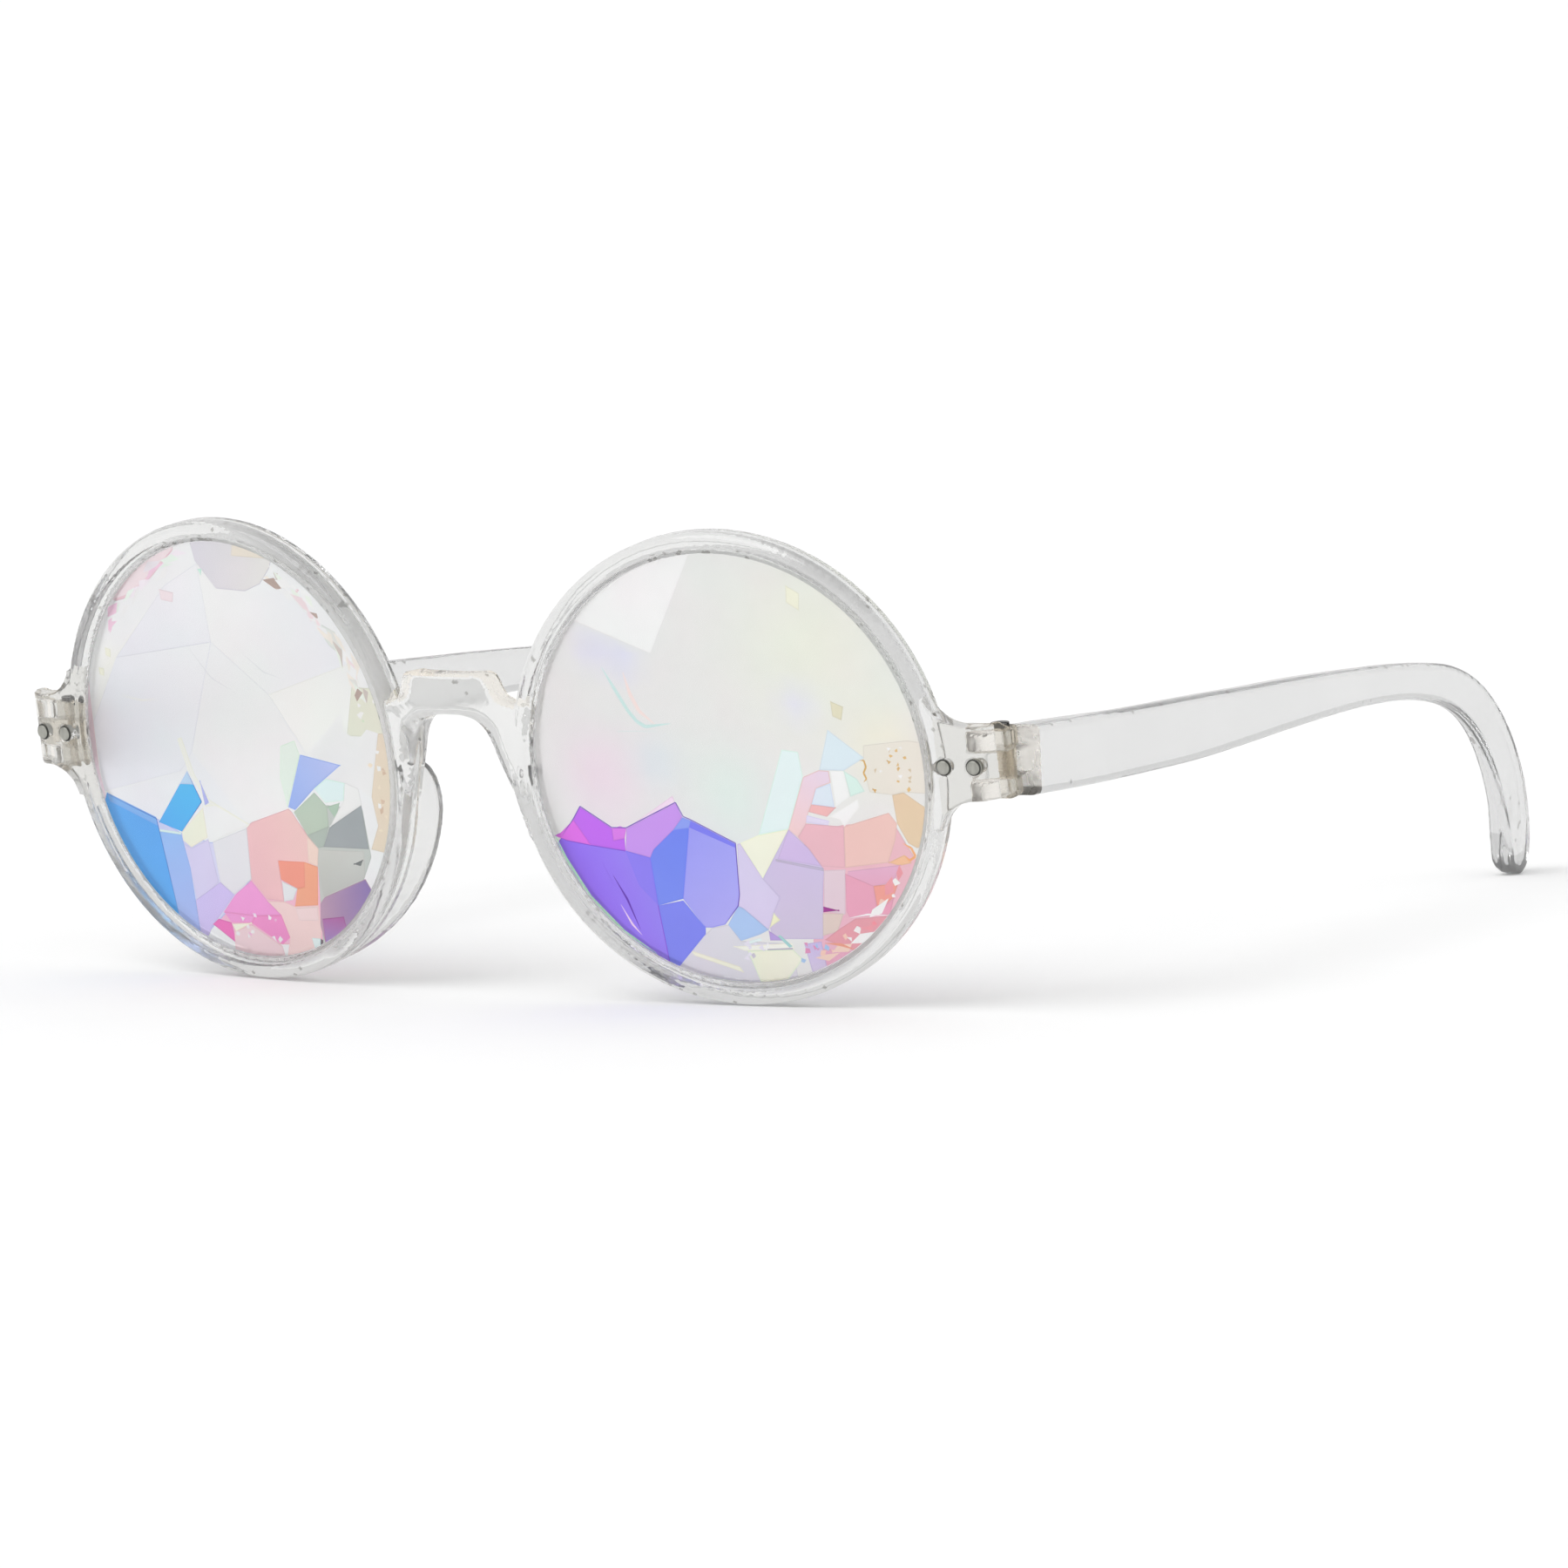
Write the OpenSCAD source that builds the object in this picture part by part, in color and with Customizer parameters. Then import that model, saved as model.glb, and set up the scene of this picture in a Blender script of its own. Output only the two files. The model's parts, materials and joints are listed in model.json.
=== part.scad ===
// Round clear kaleidoscope glasses: a moulded front with two faceted crystal lenses
// snapped into grooves, and two folding temples on plastic knuckle hinges.
// Everything is modelled on the upright front, with +X to the wearer's left and +Y to the
// rear, and then leaned forward so that the open glasses stand on a table at z = 0.

/* [Rims] */
// Outer radius of each round rim
rim_r = 28.5; // [26:0.1:31]
// Width of the rim seen from the front, from the lens opening to the outer edge
rim_w = 2.6; // [2.2:0.1:3.4]
// Depth of the rim from front to back
rim_d = 3.8; // [3.5:0.1:5]
// Rounding of the rim's outer edges
rim_round = 1.1; // [0.4:0.1:1.4]
// Width of the lower inner lip on the rim's front
lip_w = 0.7; // [0.3:0.1:1]
// Depth by which that lip lies below the rim's front
lip_drop = 0.5; // [0.2:0.1:0.8]
// Distance between the centres of the two rims
rim_spacing = 73.3; // [70:0.1:76]
// Angle by which each rim turns back from straight ahead
wrap = 7.2; // [5:0.1:9]

/* [Lenses] */
// Depth of the groove that holds the lens, out from the lens opening
groove_d = 0.9; // [0.6:0.1:1.2]
// Distance from the rim's front to the front wall of the groove
groove_from_front = 1.3; // [1:0.1:1.5]
// Thickness of the lens edge in the groove
lens_edge_t = 1.5; // [1:0.05:1.6]
// Clearance between the lens and the rim
lens_gap = 0.1; // [0.05:0.01:0.2]
// Distance from the rim's front back to the middle of the faceted crown
crown_set_back = 0.1; // [0:0.05:0.4]
// Radius of the dome that the facets are cut tangent to
crown_dome_r = 270; // [250:1:400]

/* [Bridge and nose pads] */
// Height of the bridge's top edge above the lens centres
bridge_top = 11.8; // [10.5:0.1:13]
// Height of the top of the nose arch above the lens centres
arch_top = 6.5; // [5:0.1:7.5]
// Half width of the nose arch at the height of the lens centres
arch_half_w = 6.7; // [6:0.1:7]
// Depth of the bridge from front to back
bridge_d = 3.6; // [3:0.1:4.2]
// How far the bridge's middle lies in front of the line of the rims' inner edges
bridge_bow = 1.3; // [0.5:0.1:2]
// Depth of the bevel along the nose arch's front edge
arch_bevel_d = 1; // [0.4:0.1:1.4]
// Fall of the bridge's top from front to back
top_fall = 0.4; // [0:0.1:1]
// How far the rear of a nose pad leans out from its root
pad_lean = 1.1; // [0:0.1:2]
// How far the nose pads reach back behind the rims
pad_reach = 3.5; // [2.5:0.1:6]
// Thickness of a nose pad
pad_t = 1.8; // [1.2:0.1:2.2]
// Angle below the lens centre where the nose pad starts
pad_start = 0; // [-5:1:10]
// Angle below the lens centre where the nose pad is deepest
pad_peak = 16; // [12:1:30]
// Angle below the lens centre where the nose pad ends
pad_end = 74; // [60:1:80]

/* [End pieces] */
// How far the end piece reaches out past the rim's outer radius
end_reach = 6.45; // [6:0.05:8]
// Height of the end piece's top edge above the lens centres
end_top = 5.3; // [4.9:0.1:5.8]
// Depth of the end piece's bottom edge below the lens centres
end_bottom = 3.6; // [3.3:0.1:4.2]
// Thickness of the end piece's front plate
plate_t = 2.5; // [2:0.1:3]
// Thickness of the end piece's side wall
side_t = 0.9; // [0.7:0.1:1]
// Rounding between the front plate and the side wall
corner_r = 3.1; // [2:0.1:3.4]
// Radius of the fillets where the end piece meets the rim
fillet_r = 5; // [3:0.1:7]
// Diameter of a rivet's head
rivet_d = 2; // [1.4:0.1:2.4]
// Length of a rivet
rivet_len = 1.8; // [1.2:0.1:1.9]
// Distance from the end piece's outer face to the outer rivet
rivet_from_side = 2.4; // [2.2:0.1:3.2]
// Distance between the two rivets
rivet_spacing = 3.9; // [3:0.1:4.2]
// Height of the rivets above the lens centres
rivet_up = 0.5; // [0.2:0.1:1.4]
// How far a rivet's head stands proud
rivet_proud = 0.15; // [0.05:0.01:0.3]

/* [Hinges] */
// Distance from the outer face in to the hinge axis
hinge_in = 2.9; // [2.8:0.05:3.2]
// Distance from the front face back to the hinge axis
hinge_back = 8.2; // [7.8:0.1:9]
// Height of the hinge, over both knuckles
hinge_h = 8; // [7.4:0.1:8.6]
// Height of the hinge's middle above the lens centres
hinge_mid = -0.6; // [-1:0.05:-0.2]
// Outer radius of the knuckles
knuckle_r = 2; // [1.6:0.05:2.05]
// Distance from the hinge axis in to the inner edge of the knuckles' roots, at the plate
root_in = 1.0; // [0.5:0.1:1.6]
// Rise of those roots from the knuckles to the plate
root_rise = 1.0; // [0:0.1:1.2]
// Height of the temple's tongue, which turns between the knuckles
tongue_h = 3.2; // [2.6:0.1:3.6]
// Clearance above and below the tongue
tongue_gap = 0.15; // [0.1:0.01:0.3]
// Clearance between the knuckles and the temple's notches
notch_gap = 0.2; // [0.15:0.01:0.3]
// Distance from the hinge axis forward to the open end of the side wall
wall_end = 1.8; // [1.6:0.05:2]
// Gap between the side wall and the open temple
butt_gap = 0.7; // [0.5:0.05:0.9]
// Diameter of the hinge screw's shank
screw_d = 1.4; // [1:0.1:1.6]
// Diameter of the hinge screw's head
screw_head_d = 2.4; // [2:0.1:2.8]
// Height of the hinge screw's head
screw_head_h = 0.5; // [0.4:0.1:0.8]
// Width of the slot in the screw's head
slot_w = 0.4; // [0.3:0.05:0.6]
// Radial clearance of the tongue on the screw
pivot_gap = 0.05; // [0.02:0.01:0.09]
// Radial clearance of the knuckles on the screw
screw_gap = 0.02; // [0.01:0.01:0.05]

/* [Temples] */
// Angle by which each open temple turns inward from straight back
splay = 5.9; // [3:0.1:8]
// Angle by which the temples drop from square to the front
temple_drop = 7; // [4:0.1:10]
// Length of the temple from the hinge axis to the rear of its hook
temple_len = 137; // [125:1:145]
// Thickness of the temple along its length
temple_t = 2.6; // [2:0.1:3]
// Thickness of the temple's block behind the hinge
block_t = 4.8; // [4.4:0.1:4.9]
// Length of that block from the hinge axis
block_len = 6; // [4:0.5:10]
// Length over which the block tapers to the temple's thickness
block_taper = 20; // [8:0.5:24]
// Rounding of the temple's long edges
temple_round = 0.8; // [0.3:0.1:1]

/* [Hidden] */

clear_colour = [0.91, 0.92, 0.91, 0.55];
crystal_colour = [0.88, 0.86, 0.97, 0.7];
steel_colour = [0.62, 0.61, 0.6];
LEFT = 1;
RIGHT = -1;
// Reach of a cutting tool, overlap of joined or cut faces, and the usual small chamfer
cut = 30;
overlap = 0.2;
edge_break = 0.3;

// Rims and lens seats
opening_r = rim_r - rim_w;
groove_r = opening_r + groove_d;
groove_front = -groove_from_front;
groove_back = groove_front - lens_edge_t - 2 * lens_gap;
lens_front = groove_front - lens_gap;
lens_back = lens_front - lens_edge_t;
lens_edge_r = groove_r - lens_gap;
crown_r = opening_r - lens_gap;

// Side of the front: the sharp corner where front and side faces would meet
rim_x = rim_spacing / 2;
front_half_w = rim_x + rim_r + end_reach;
corner = [front_half_w, (front_half_w - rim_x) * tan(wrap)];
hinge_at = corner + hinge_in * [-cos(splay), -sin(splay)] + hinge_back * [-sin(splay), cos(splay)];
front_skew = tan(wrap - splay);
knuckle_low = hinge_mid - hinge_h / 2;
knuckle_high = hinge_mid + hinge_h / 2;

// A point of an arc, and a round list of arc points
function on_circle(c, r, a) = c + r * [cos(a), sin(a)];
function arc(c, r, from, to, n) = [for (i = [0:n]) on_circle(c, r, from + (to - from) * i / n)];

// Smooth curve through a list of stations, t from 0 to the last station
function blend4(a, b, c, d, f) =
    b + 0.5 * f * (c - a + f * (2 * a - 5 * b + 4 * c - d + f * (3 * (b - c) + d - a)));
function at_station(list, t) =
    let (last = len(list) - 1,
         i = min(floor(t), last - 1))
    blend4(list[max(i - 1, 0)], list[i], list[i + 1], list[min(i + 2, last)], t - i);

// Side of a closed tube of rings, each ring a list of points, with flat ends
function tube_faces(rings, sides) = concat(
    [[for (j = [0:sides - 1]) j]],
    [for (i = [0:rings - 2], j = [0:sides - 1])
        let (k = (j + 1) % sides)
        each [[i * sides + j, (i + 1) * sides + j, (i + 1) * sides + k],
              [i * sides + j, (i + 1) * sides + k, i * sides + k]]],
    [[for (j = [sides - 1:-1:0]) (rings - 1) * sides + j]]);

// Superellipse-like rounded section, half sizes a and b, corner rounding r
function rounded_section(a, b, r, n) = [
    for (q = [[1, 1, 0], [-1, 1, 90], [-1, -1, 180], [1, -1, 270]])
        each arc([q[0] * (a - r), q[1] * (b - r)], r, q[2], q[2] + 90, n)];

// Rim, seen in section: distance out from its axis, distance in front of its front plane
rim_profile = concat(
    [[opening_r, -lip_drop - edge_break], [opening_r, groove_front], [groove_r, groove_front],
     [groove_r, groove_back], [opening_r, groove_back], [opening_r, edge_break - rim_d],
     [opening_r + edge_break, -rim_d]],
    arc([rim_r - rim_round, rim_round - rim_d], rim_round, -90, 0, 4),
    arc([rim_r - rim_round, -rim_round], rim_round, 0, 90, 4),
    [[opening_r + lip_w + edge_break / 2, 0], [opening_r + lip_w, -lip_drop],
     [opening_r + edge_break, -lip_drop]]);

module mirrored(side) {
    if (side == LEFT) children();
    else mirror([1, 0, 0]) children();
}

// Places a child that is drawn about a rim's axis, with +Z out of its front
module at_rim(side) {
    translate([side * rim_x, 0, 0])
        rotate([0, 0, side * wrap])
            rotate([90, 0, 0])
                children();
}

// Places a child that is drawn about the left hinge axis, +X out and +Y along the temple
module at_hinge() {
    translate([hinge_at[0], hinge_at[1], 0])
        rotate([0, 0, splay])
            children();
}

module rim() {
    at_rim(LEFT)
        rotate_extrude($fn = 180)
            polygon(rim_profile);
}

// End piece outline from the front, about the rim's axis
module end_outline(top) {
    edge = top ? end_top : -end_bottom;
    up = top ? 1 : -1;
    fillet_z = abs(edge) + fillet_r;
    fillet_x = sqrt(pow(rim_r + fillet_r, 2) - fillet_z * fillet_z);
    ring_point = [fillet_x, up * fillet_z] * rim_r / (rim_r + fillet_r);
    difference() {
        polygon([[opening_r, 0], ring_point, [fillet_x, edge], [front_half_w, edge],
                 [front_half_w, 0]]);
        translate([fillet_x, up * fillet_z])
            circle(r = fillet_r, $fn = 96);
        circle(r = (groove_r + rim_r) / 2, $fn = 180);
    }
}

// End piece outline from above, about the hinge axis
function plate_line(u, back) = -hinge_back + (u - hinge_in) * front_skew + back;
corner_round_at = [hinge_in - corner_r,
                   plate_line(hinge_in - corner_r, corner_r / cos(wrap - splay))];
wall_in = hinge_in - side_t;
end_plan = concat(
    [[-cut / 2, plate_line(-cut / 2, plate_t)], [-cut / 2, plate_line(-cut / 2, 0)]],
    arc(corner_round_at, corner_r, wrap - splay - 90, 0, 8),
    [[hinge_in, 0], [wall_in, 0], [wall_in, plate_line(wall_in, plate_t)]]);

// End piece outline from the side: it falls with the temple and ends square to it
wall_slope = tan(temple_drop);
function wall_end_at(z) = -wall_end + (z - hinge_mid) * wall_slope;
end_side = [[-cut, end_top], [-hinge_back + corner_r, end_top],
            [wall_end_at(knuckle_high), knuckle_high], [wall_end_at(knuckle_low), knuckle_low],
            [-hinge_back + corner_r, -end_bottom], [-cut, -end_bottom]];
end_side_tall = [[-cut, cut], [-hinge_back + corner_r, cut], [-hinge_back + corner_r, -cut],
                 [-cut, -cut]];

module side_prism(outline) {
    translate([-cut, 0, 0])
        rotate([90, 0, 90])
            linear_extrude(cut + hinge_in + overlap)
                polygon(outline);
}

module end_piece() {
    intersection() {
        at_hinge()
            translate([0, 0, -cut])
                linear_extrude(2 * cut)
                    polygon(end_plan);
        translate([rim_x, 0, 0])
            rotate([0, 0, wrap])
                translate([0, cut, 0])
                    rotate([90, 0, 0])
                        linear_extrude(2 * cut)
                            union() {
                                end_outline(true);
                                end_outline(false);
                            }
        at_hinge()
            union() {
                side_prism(end_side);
                side_prism(end_side_tall);
            }
    }
}

// Knuckles of the front, with the roots that join them to the plate: each root narrows and
// rises on its way forward, from where it clears the temple's tongue
root_start = -knuckle_r - overlap;
root_end = plate_line(0, plate_t - overlap);
module root_plan() {
    outer = wall_in + overlap / 2;
    polygon([[outer, 0], [-knuckle_r, 0], [-root_in, root_end], [outer, root_end]]);
}

module knuckles() {
    tongue_room = tongue_h / 2 + tongue_gap;
    height = hinge_h / 2 - tongue_room;
    at_hinge()
        for (z = [knuckle_low, hinge_mid + tongue_room]) {
            translate([0, 0, z])
                linear_extrude(height)
                    circle(r = knuckle_r, $fn = 64);
            intersection() {
                side_prism([[0, z], [0, z + height], [root_start, z + height],
                            [root_end, z + height + root_rise], [root_end, z + root_rise],
                            [root_start, z]]);
                translate([0, 0, -cut])
                    linear_extrude(2 * cut)
                        root_plan();
            }
        }
}

// Bridge: half outline stations from a rim's inner side to the middle, as
// [outer edge x, outer edge z, inner edge x, inner edge z, width of the arch's bevel]
rim_inside = rim_x - (groove_r + rim_r) / 2 * cos(wrap);
bridge_half = [
    [rim_inside + 1.2, -8, arch_half_w + 3, -8.6, 0.5],
    [rim_inside + 0.7, -5.5, arch_half_w + 2.05, -6, 0.9],
    [rim_inside + 0.2, -3, arch_half_w + 1.05, -3.2, 1.6],
    [rim_inside, 0, arch_half_w + 0.2, -0.9, 1.9],
    [rim_inside + 0.2, 3, arch_half_w - 0.55, 1.2, 2.1],
    [rim_inside + 0.5, 5.3, arch_half_w - 1.1, 3, 2.2],
    [rim_inside + 1, bridge_top - 4.4, arch_half_w - 1.7, arch_top - 2.1, 2.1],
    [7.3, bridge_top - 3.1, arch_half_w - 2.4, arch_top - 1.2, 1.7],
    [5.8, bridge_top - 0.2, arch_half_w - 3.3, arch_top - 0.5, 1.3],
    [3.8, bridge_top, arch_half_w - 4.7, arch_top - 0.1, 1],
    [1.8, bridge_top, 0.9, arch_top, 0.9]];
function flipped(s) = [-s[0], s[1], -s[2], s[3], s[4]];
bridge_stations = concat(bridge_half, [[0, bridge_top, 0, arch_top, 0.9]],
                         [for (i = [len(bridge_half) - 1:-1:0]) flipped(bridge_half[i])]);
bridge_rings = 67;
bridge_round = 0.4;
bridge_set_back = 0.15;
bridge_front_bend = bridge_bow / pow(rim_inside, 2);
function bridge_front(x) = -(rim_x - rim_inside) * tan(wrap) - bridge_bow
                           + bridge_front_bend * x * x + bridge_set_back;
function bridge_section(w, bevel) = concat(
    arc([w - bridge_round, bridge_d - bridge_round], bridge_round, 0, 90, 2),
    arc([bridge_round, bridge_d - bridge_round], bridge_round, 90, 180, 2),
    [[0, arch_bevel_d + edge_break], [edge_break / 3, arch_bevel_d],
     [bevel - edge_break, edge_break / 3], [bevel, 0]],
    arc([w - bridge_round, bridge_round], bridge_round, -90, 0, 2));
bridge_sides = 13;
function bridge_ring(s) =
    let (outer = [s[0], s[1]],
         inner = [s[2], s[3]],
         w = norm(outer - inner))
    [for (p = bridge_section(w, min(s[4], w - bridge_round - edge_break)))
        let (sink = top_fall * p[0] / w * p[1] / bridge_d,
             q = inner + (outer - inner) / w * (p[0] - sink))
        [q[0], bridge_front(q[0]) + p[1], q[1]]];

bridge_step = (len(bridge_stations) - 1) / (bridge_rings - 1);
bridge_points = [for (i = [0:bridge_rings - 1])
    each bridge_ring(at_station(bridge_stations, i * bridge_step))];

module bridge() {
    polyhedron(bridge_points, tube_faces(bridge_rings, bridge_sides));
}

// Nose pad: a fin that grows back from the rim's nose side and dies out below
pad_rings = 20;
pad_sides = 12;
pad_inset = 0.1;
pad_sink = 0.4;
pad_r = rim_r - pad_t / 2 - pad_inset;
pad_root = -groove_back + overlap;
function pad_depth(a) = pad_reach * (a < pad_peak
    ? sqrt(1 - pow((pad_peak - a) / (pad_peak - pad_start), 2))
    : cos(90 * (a - pad_peak) / (pad_end - pad_peak)));
function pad_ring(i) =
    let (below = pad_start + (pad_end - pad_start) * pow(i / (pad_rings - 1), 1.7),
         a = 180 + below,
         root = pad_root,
         back = rim_d - pad_sink + pad_depth(below),
         half = (back - root) / 2)
    [for (p = rounded_section(pad_t / 2, half, min(pad_sink, half * 0.9), 2))
        let (lean = pad_lean * max(0, p[1] + root + half - rim_d) / pad_reach)
        [(pad_r + p[0] + lean) * cos(a), (pad_r + p[0] + lean) * sin(a), -(root + half + p[1])]];

module nose_pad() {
    at_rim(LEFT)
        polyhedron([for (i = [0:pad_rings - 1]) each pad_ring(i)],
                   tube_faces(pad_rings, pad_sides));
}

// Bore for the hinge screw: a seat for the head over the shank's hole
module screw_bore() {
    at_hinge()
        translate([0, 0, knuckle_low - overlap])
            cylinder(d = screw_d + 2 * screw_gap, h = hinge_h + 2 * overlap, $fn = 48);
}

module at_rivet(outer) {
    from_rim = (front_half_w - rim_x) / cos(wrap) - rivet_from_side - (outer ? 0 : rivet_spacing);
    at_rim(LEFT)
        translate([from_rim, rivet_up, 0])
            children();
}

module rivet_hole(outer) {
    at_rivet(outer)
        translate([0, 0, -rivet_len - overlap / 2])
            cylinder(d = rivet_d + 2 * screw_gap, h = rivet_len + cut, $fn = 48);
}

module rivet(outer) {
    at_rivet(outer)
        translate([0, 0, -rivet_len])
            rotate_extrude($fn = 48)
                polygon([[0, 0], [rivet_d / 2, 0], [rivet_d / 2, rivet_len],
                         [rivet_d / 2 - rivet_proud, rivet_len + rivet_proud],
                         [0, rivet_len + rivet_proud]]);
}

module front_half() {
    difference() {
        union() {
            rim();
            end_piece();
            knuckles();
            nose_pad();
        }
        screw_bore();
        rivet_hole(false);
        rivet_hole(true);
    }
}

module frame_front() {
    color(clear_colour)
        stand()
            union() {
                mirrored(LEFT) front_half();
                mirrored(RIGHT) front_half();
                bridge();
            }
}

// Lens facets: where each one touches the dome, from the lens's middle, +X to the right as
// the lens is looked at from the front, in hundredths of the crown's radius
facets_left = [
    [0, 23], [-58, 74], [-62, -47], [-35, -39], [-16, -62], [12, -50], [-54, -74],
    [-23, -85], [23, -78], [35, -27], [50, -47], [70, -23], [78, -47], [50, -74], [85, 8],
    [78, 50], [-89, 8], [39, 78], [0, -93]];
facets_right = [
    [-8, 27], [16, 78], [-54, 70], [54, 62], [81, 23], [-78, -31], [-54, -50], [-31, -31],
    [-16, -50], [8, -47], [-43, -78], [-12, -74], [27, -62], [47, -39], [70, -19],
    [66, -50], [31, -85], [-85, 19], [85, -12]];
function dome(p) = -crown_set_back - (p * p) / (2 * crown_dome_r);

module lens(side, facets) {
    color(crystal_colour)
        stand()
            at_rim(side)
                union() {
                    translate([0, 0, lens_back])
                        cylinder(r = lens_edge_r, h = lens_edge_t, $fn = 180);
                    difference() {
                        translate([0, 0, lens_back])
                            cylinder(r = crown_r, h = -lens_back - crown_set_back, $fn = 180);
                        for (share = facets) {
                            p = share * crown_r / 100;
                            translate([p[0], p[1], dome(p)])
                                rotate(a = atan(norm(p) / crown_dome_r), v = [-p[1], p[0], 0])
                                    translate([-2 * rim_r, -2 * rim_r, 0])
                                        cube([4 * rim_r, 4 * rim_r, rim_r]);
                        }
                    }
                }
}

// Temple: stations along its middle line, as [distance from the hinge axis, height above the
// hinge's middle, half height, thickness over temple_t], drawn for a length of drawn_len
drawn_len = 137;
hook_x = temple_len - drawn_len;
temple_stations = [
    [0, -0.2, 4.1, 0], [15, -0.65, 4.15, 0], [30, -1, 4.05, 0], [45, -1.2, 3.9, 0],
    [58, -1.2, 3.5, 0], [72, -1.1, 3.05, 0], [87 + hook_x, -1.25, 2.55, -0.1],
    [99 + hook_x, -1.7, 2.35, -0.3], [108 + hook_x, -2.6, 2.4, -0.6],
    [115 + hook_x, -4, 2.75, -0.8], [121 + hook_x, -6.6, 3.2, -0.7],
    [125.8 + hook_x, -10.4, 3.6, -0.5], [129.2 + hook_x, -14.8, 3.85, -0.3],
    [131.3 + hook_x, -19.2, 3.9, -0.1], [132.3 + hook_x, -23.4, 3.7, 0.3],
    [132.6 + hook_x, -26.8, 3.1, 0.6]];
tip_at = [132.2 + hook_x, -29.8];
temple_rings = 61;
tip_rings = 5;
tip_edge = 0.35;
tip_turn = 85;
temple_sides = 16;
function temple_middle(t) = let (s = at_station(temple_stations, t)) [s[0], s[1]];
function temple_normal(t) =
    let (d = temple_middle(min(t + 0.1, len(temple_stations) - 1)) - temple_middle(t - 0.1))
    [-d[1], d[0]] / norm(d);
function thickness(x) =
    let (f = min(max((x - block_len) / block_taper, 0), 1))
    block_t + (temple_t - block_t) * (1 - cos(180 * f)) / 2;
function temple_section(mid, up, half, t) = [
    for (p = rounded_section(t / 2, half, min(temple_round, half * 0.9, t * 0.45), 3))
        [hinge_in - t / 2 - p[0], mid[0] + up[0] * p[1], mid[1] + up[1] * p[1]]];
function temple_ring(i) =
    let (last = len(temple_stations) - 1,
         t = last * i / (temple_rings - 1),
         s = at_station(temple_stations, t))
    temple_section([s[0], s[1]], temple_normal(max(t, 0.1)), s[2], thickness(s[0]) + s[3]);
function tip_ring(i) =
    let (last = len(temple_stations) - 1,
         end = temple_stations[last],
         t = temple_t + end[3],
         f = i / tip_rings,
         mid = [end[0], end[1]] * (1 - sin(90 * f)) + tip_at * sin(90 * f),
         shrink = cos(tip_turn * f),
         thin = tip_edge + (1 - tip_edge) * shrink)
    temple_section(mid, temple_normal(last), end[2] * shrink, t * thin);
temple_points = concat([for (i = [0:temple_rings - 1]) each temple_ring(i)],
                       [for (i = [1:tip_rings]) each tip_ring(i)]);

// Temple points turned down by the drop and carried to the front's own axes
function dropped(p) = [p[0], p[1] * cos(temple_drop) + p[2] * sin(temple_drop),
                       p[2] * cos(temple_drop) - p[1] * sin(temple_drop) + hinge_mid];
function from_hinge(p) = [hinge_at[0] + p[0] * cos(splay) - p[1] * sin(splay),
                          hinge_at[1] + p[0] * sin(splay) + p[1] * cos(splay), p[2]];
temple_on_front = [for (p = temple_points) from_hinge(dropped(p))];

tongue_root = 2;

module tongue_plan() {
    tongue_r = knuckle_r - tongue_gap;
    circle(r = tongue_r, $fn = 64);
    translate([-tongue_r, 0])
        square([tongue_r + hinge_in, knuckle_r + notch_gap + tongue_root]);
    translate([0, butt_gap - wall_end])
        square([hinge_in, wall_end]);
}

module temple(side) {
    color(clear_colour)
        stand()
            mirrored(side)
                at_hinge()
                    difference() {
                        union() {
                            difference() {
                                translate([0, 0, hinge_mid])
                                    rotate([-temple_drop, 0, 0])
                                        polyhedron(temple_points,
                                                   tube_faces(temple_rings + tip_rings,
                                                              temple_sides));
                                translate([-cut / 2, -cut + knuckle_r + notch_gap, -cut / 2])
                                    cube([cut, cut, cut]);
                            }
                            translate([0, 0, hinge_mid - tongue_h / 2])
                                linear_extrude(tongue_h)
                                    tongue_plan();
                        }
                        translate([0, 0, knuckle_low])
                            cylinder(d = screw_d + 2 * pivot_gap, h = hinge_h, $fn = 48);
                    }
}

module hinge_screw(side) {
    color(steel_colour)
        stand()
            mirrored(side)
                at_hinge()
                    difference() {
                        translate([0, 0, knuckle_low])
                            union() {
                                cylinder(d = screw_d, h = hinge_h + screw_head_h / 2, $fn = 48);
                                translate([0, 0, hinge_h])
                                    cylinder(d = screw_head_d, h = screw_head_h, $fn = 48);
                            }
                        translate([-screw_head_d, -slot_w / 2, knuckle_high + screw_head_h / 2])
                            cube([2 * screw_head_d, slot_w, screw_head_h]);
                    }
}

// The forward lean at which the rims and the temples' tips touch one table
function leaned_z(p, a) = p[1] * sin(a) + p[2] * cos(a);
function leaned_y(p, a) = p[1] * cos(a) - p[2] * sin(a);
function rim_low(a) = rim_round * sin(a) - (rim_r - rim_round) * cos(a) - rim_round;
function temple_low(a) = min([for (p = temple_on_front) leaned_z(p, a)]);
function lean(steps) = steps == 0 ? temple_drop
    : let (a = lean(steps - 1))
      a - atan((temple_low(a) - rim_low(a)) / (temple_len + hinge_at[1]));
stand_lean = lean(5);
front_most = min([for (p = bridge_points) leaned_y(p, stand_lean)]);
rear_most = max([for (p = temple_on_front) leaned_y(p, stand_lean)]);

module stand() {
    translate([0, -(front_most + rear_most) / 2, -rim_low(stand_lean)])
        rotate([stand_lean, 0, 0])
            children();
}

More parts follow.
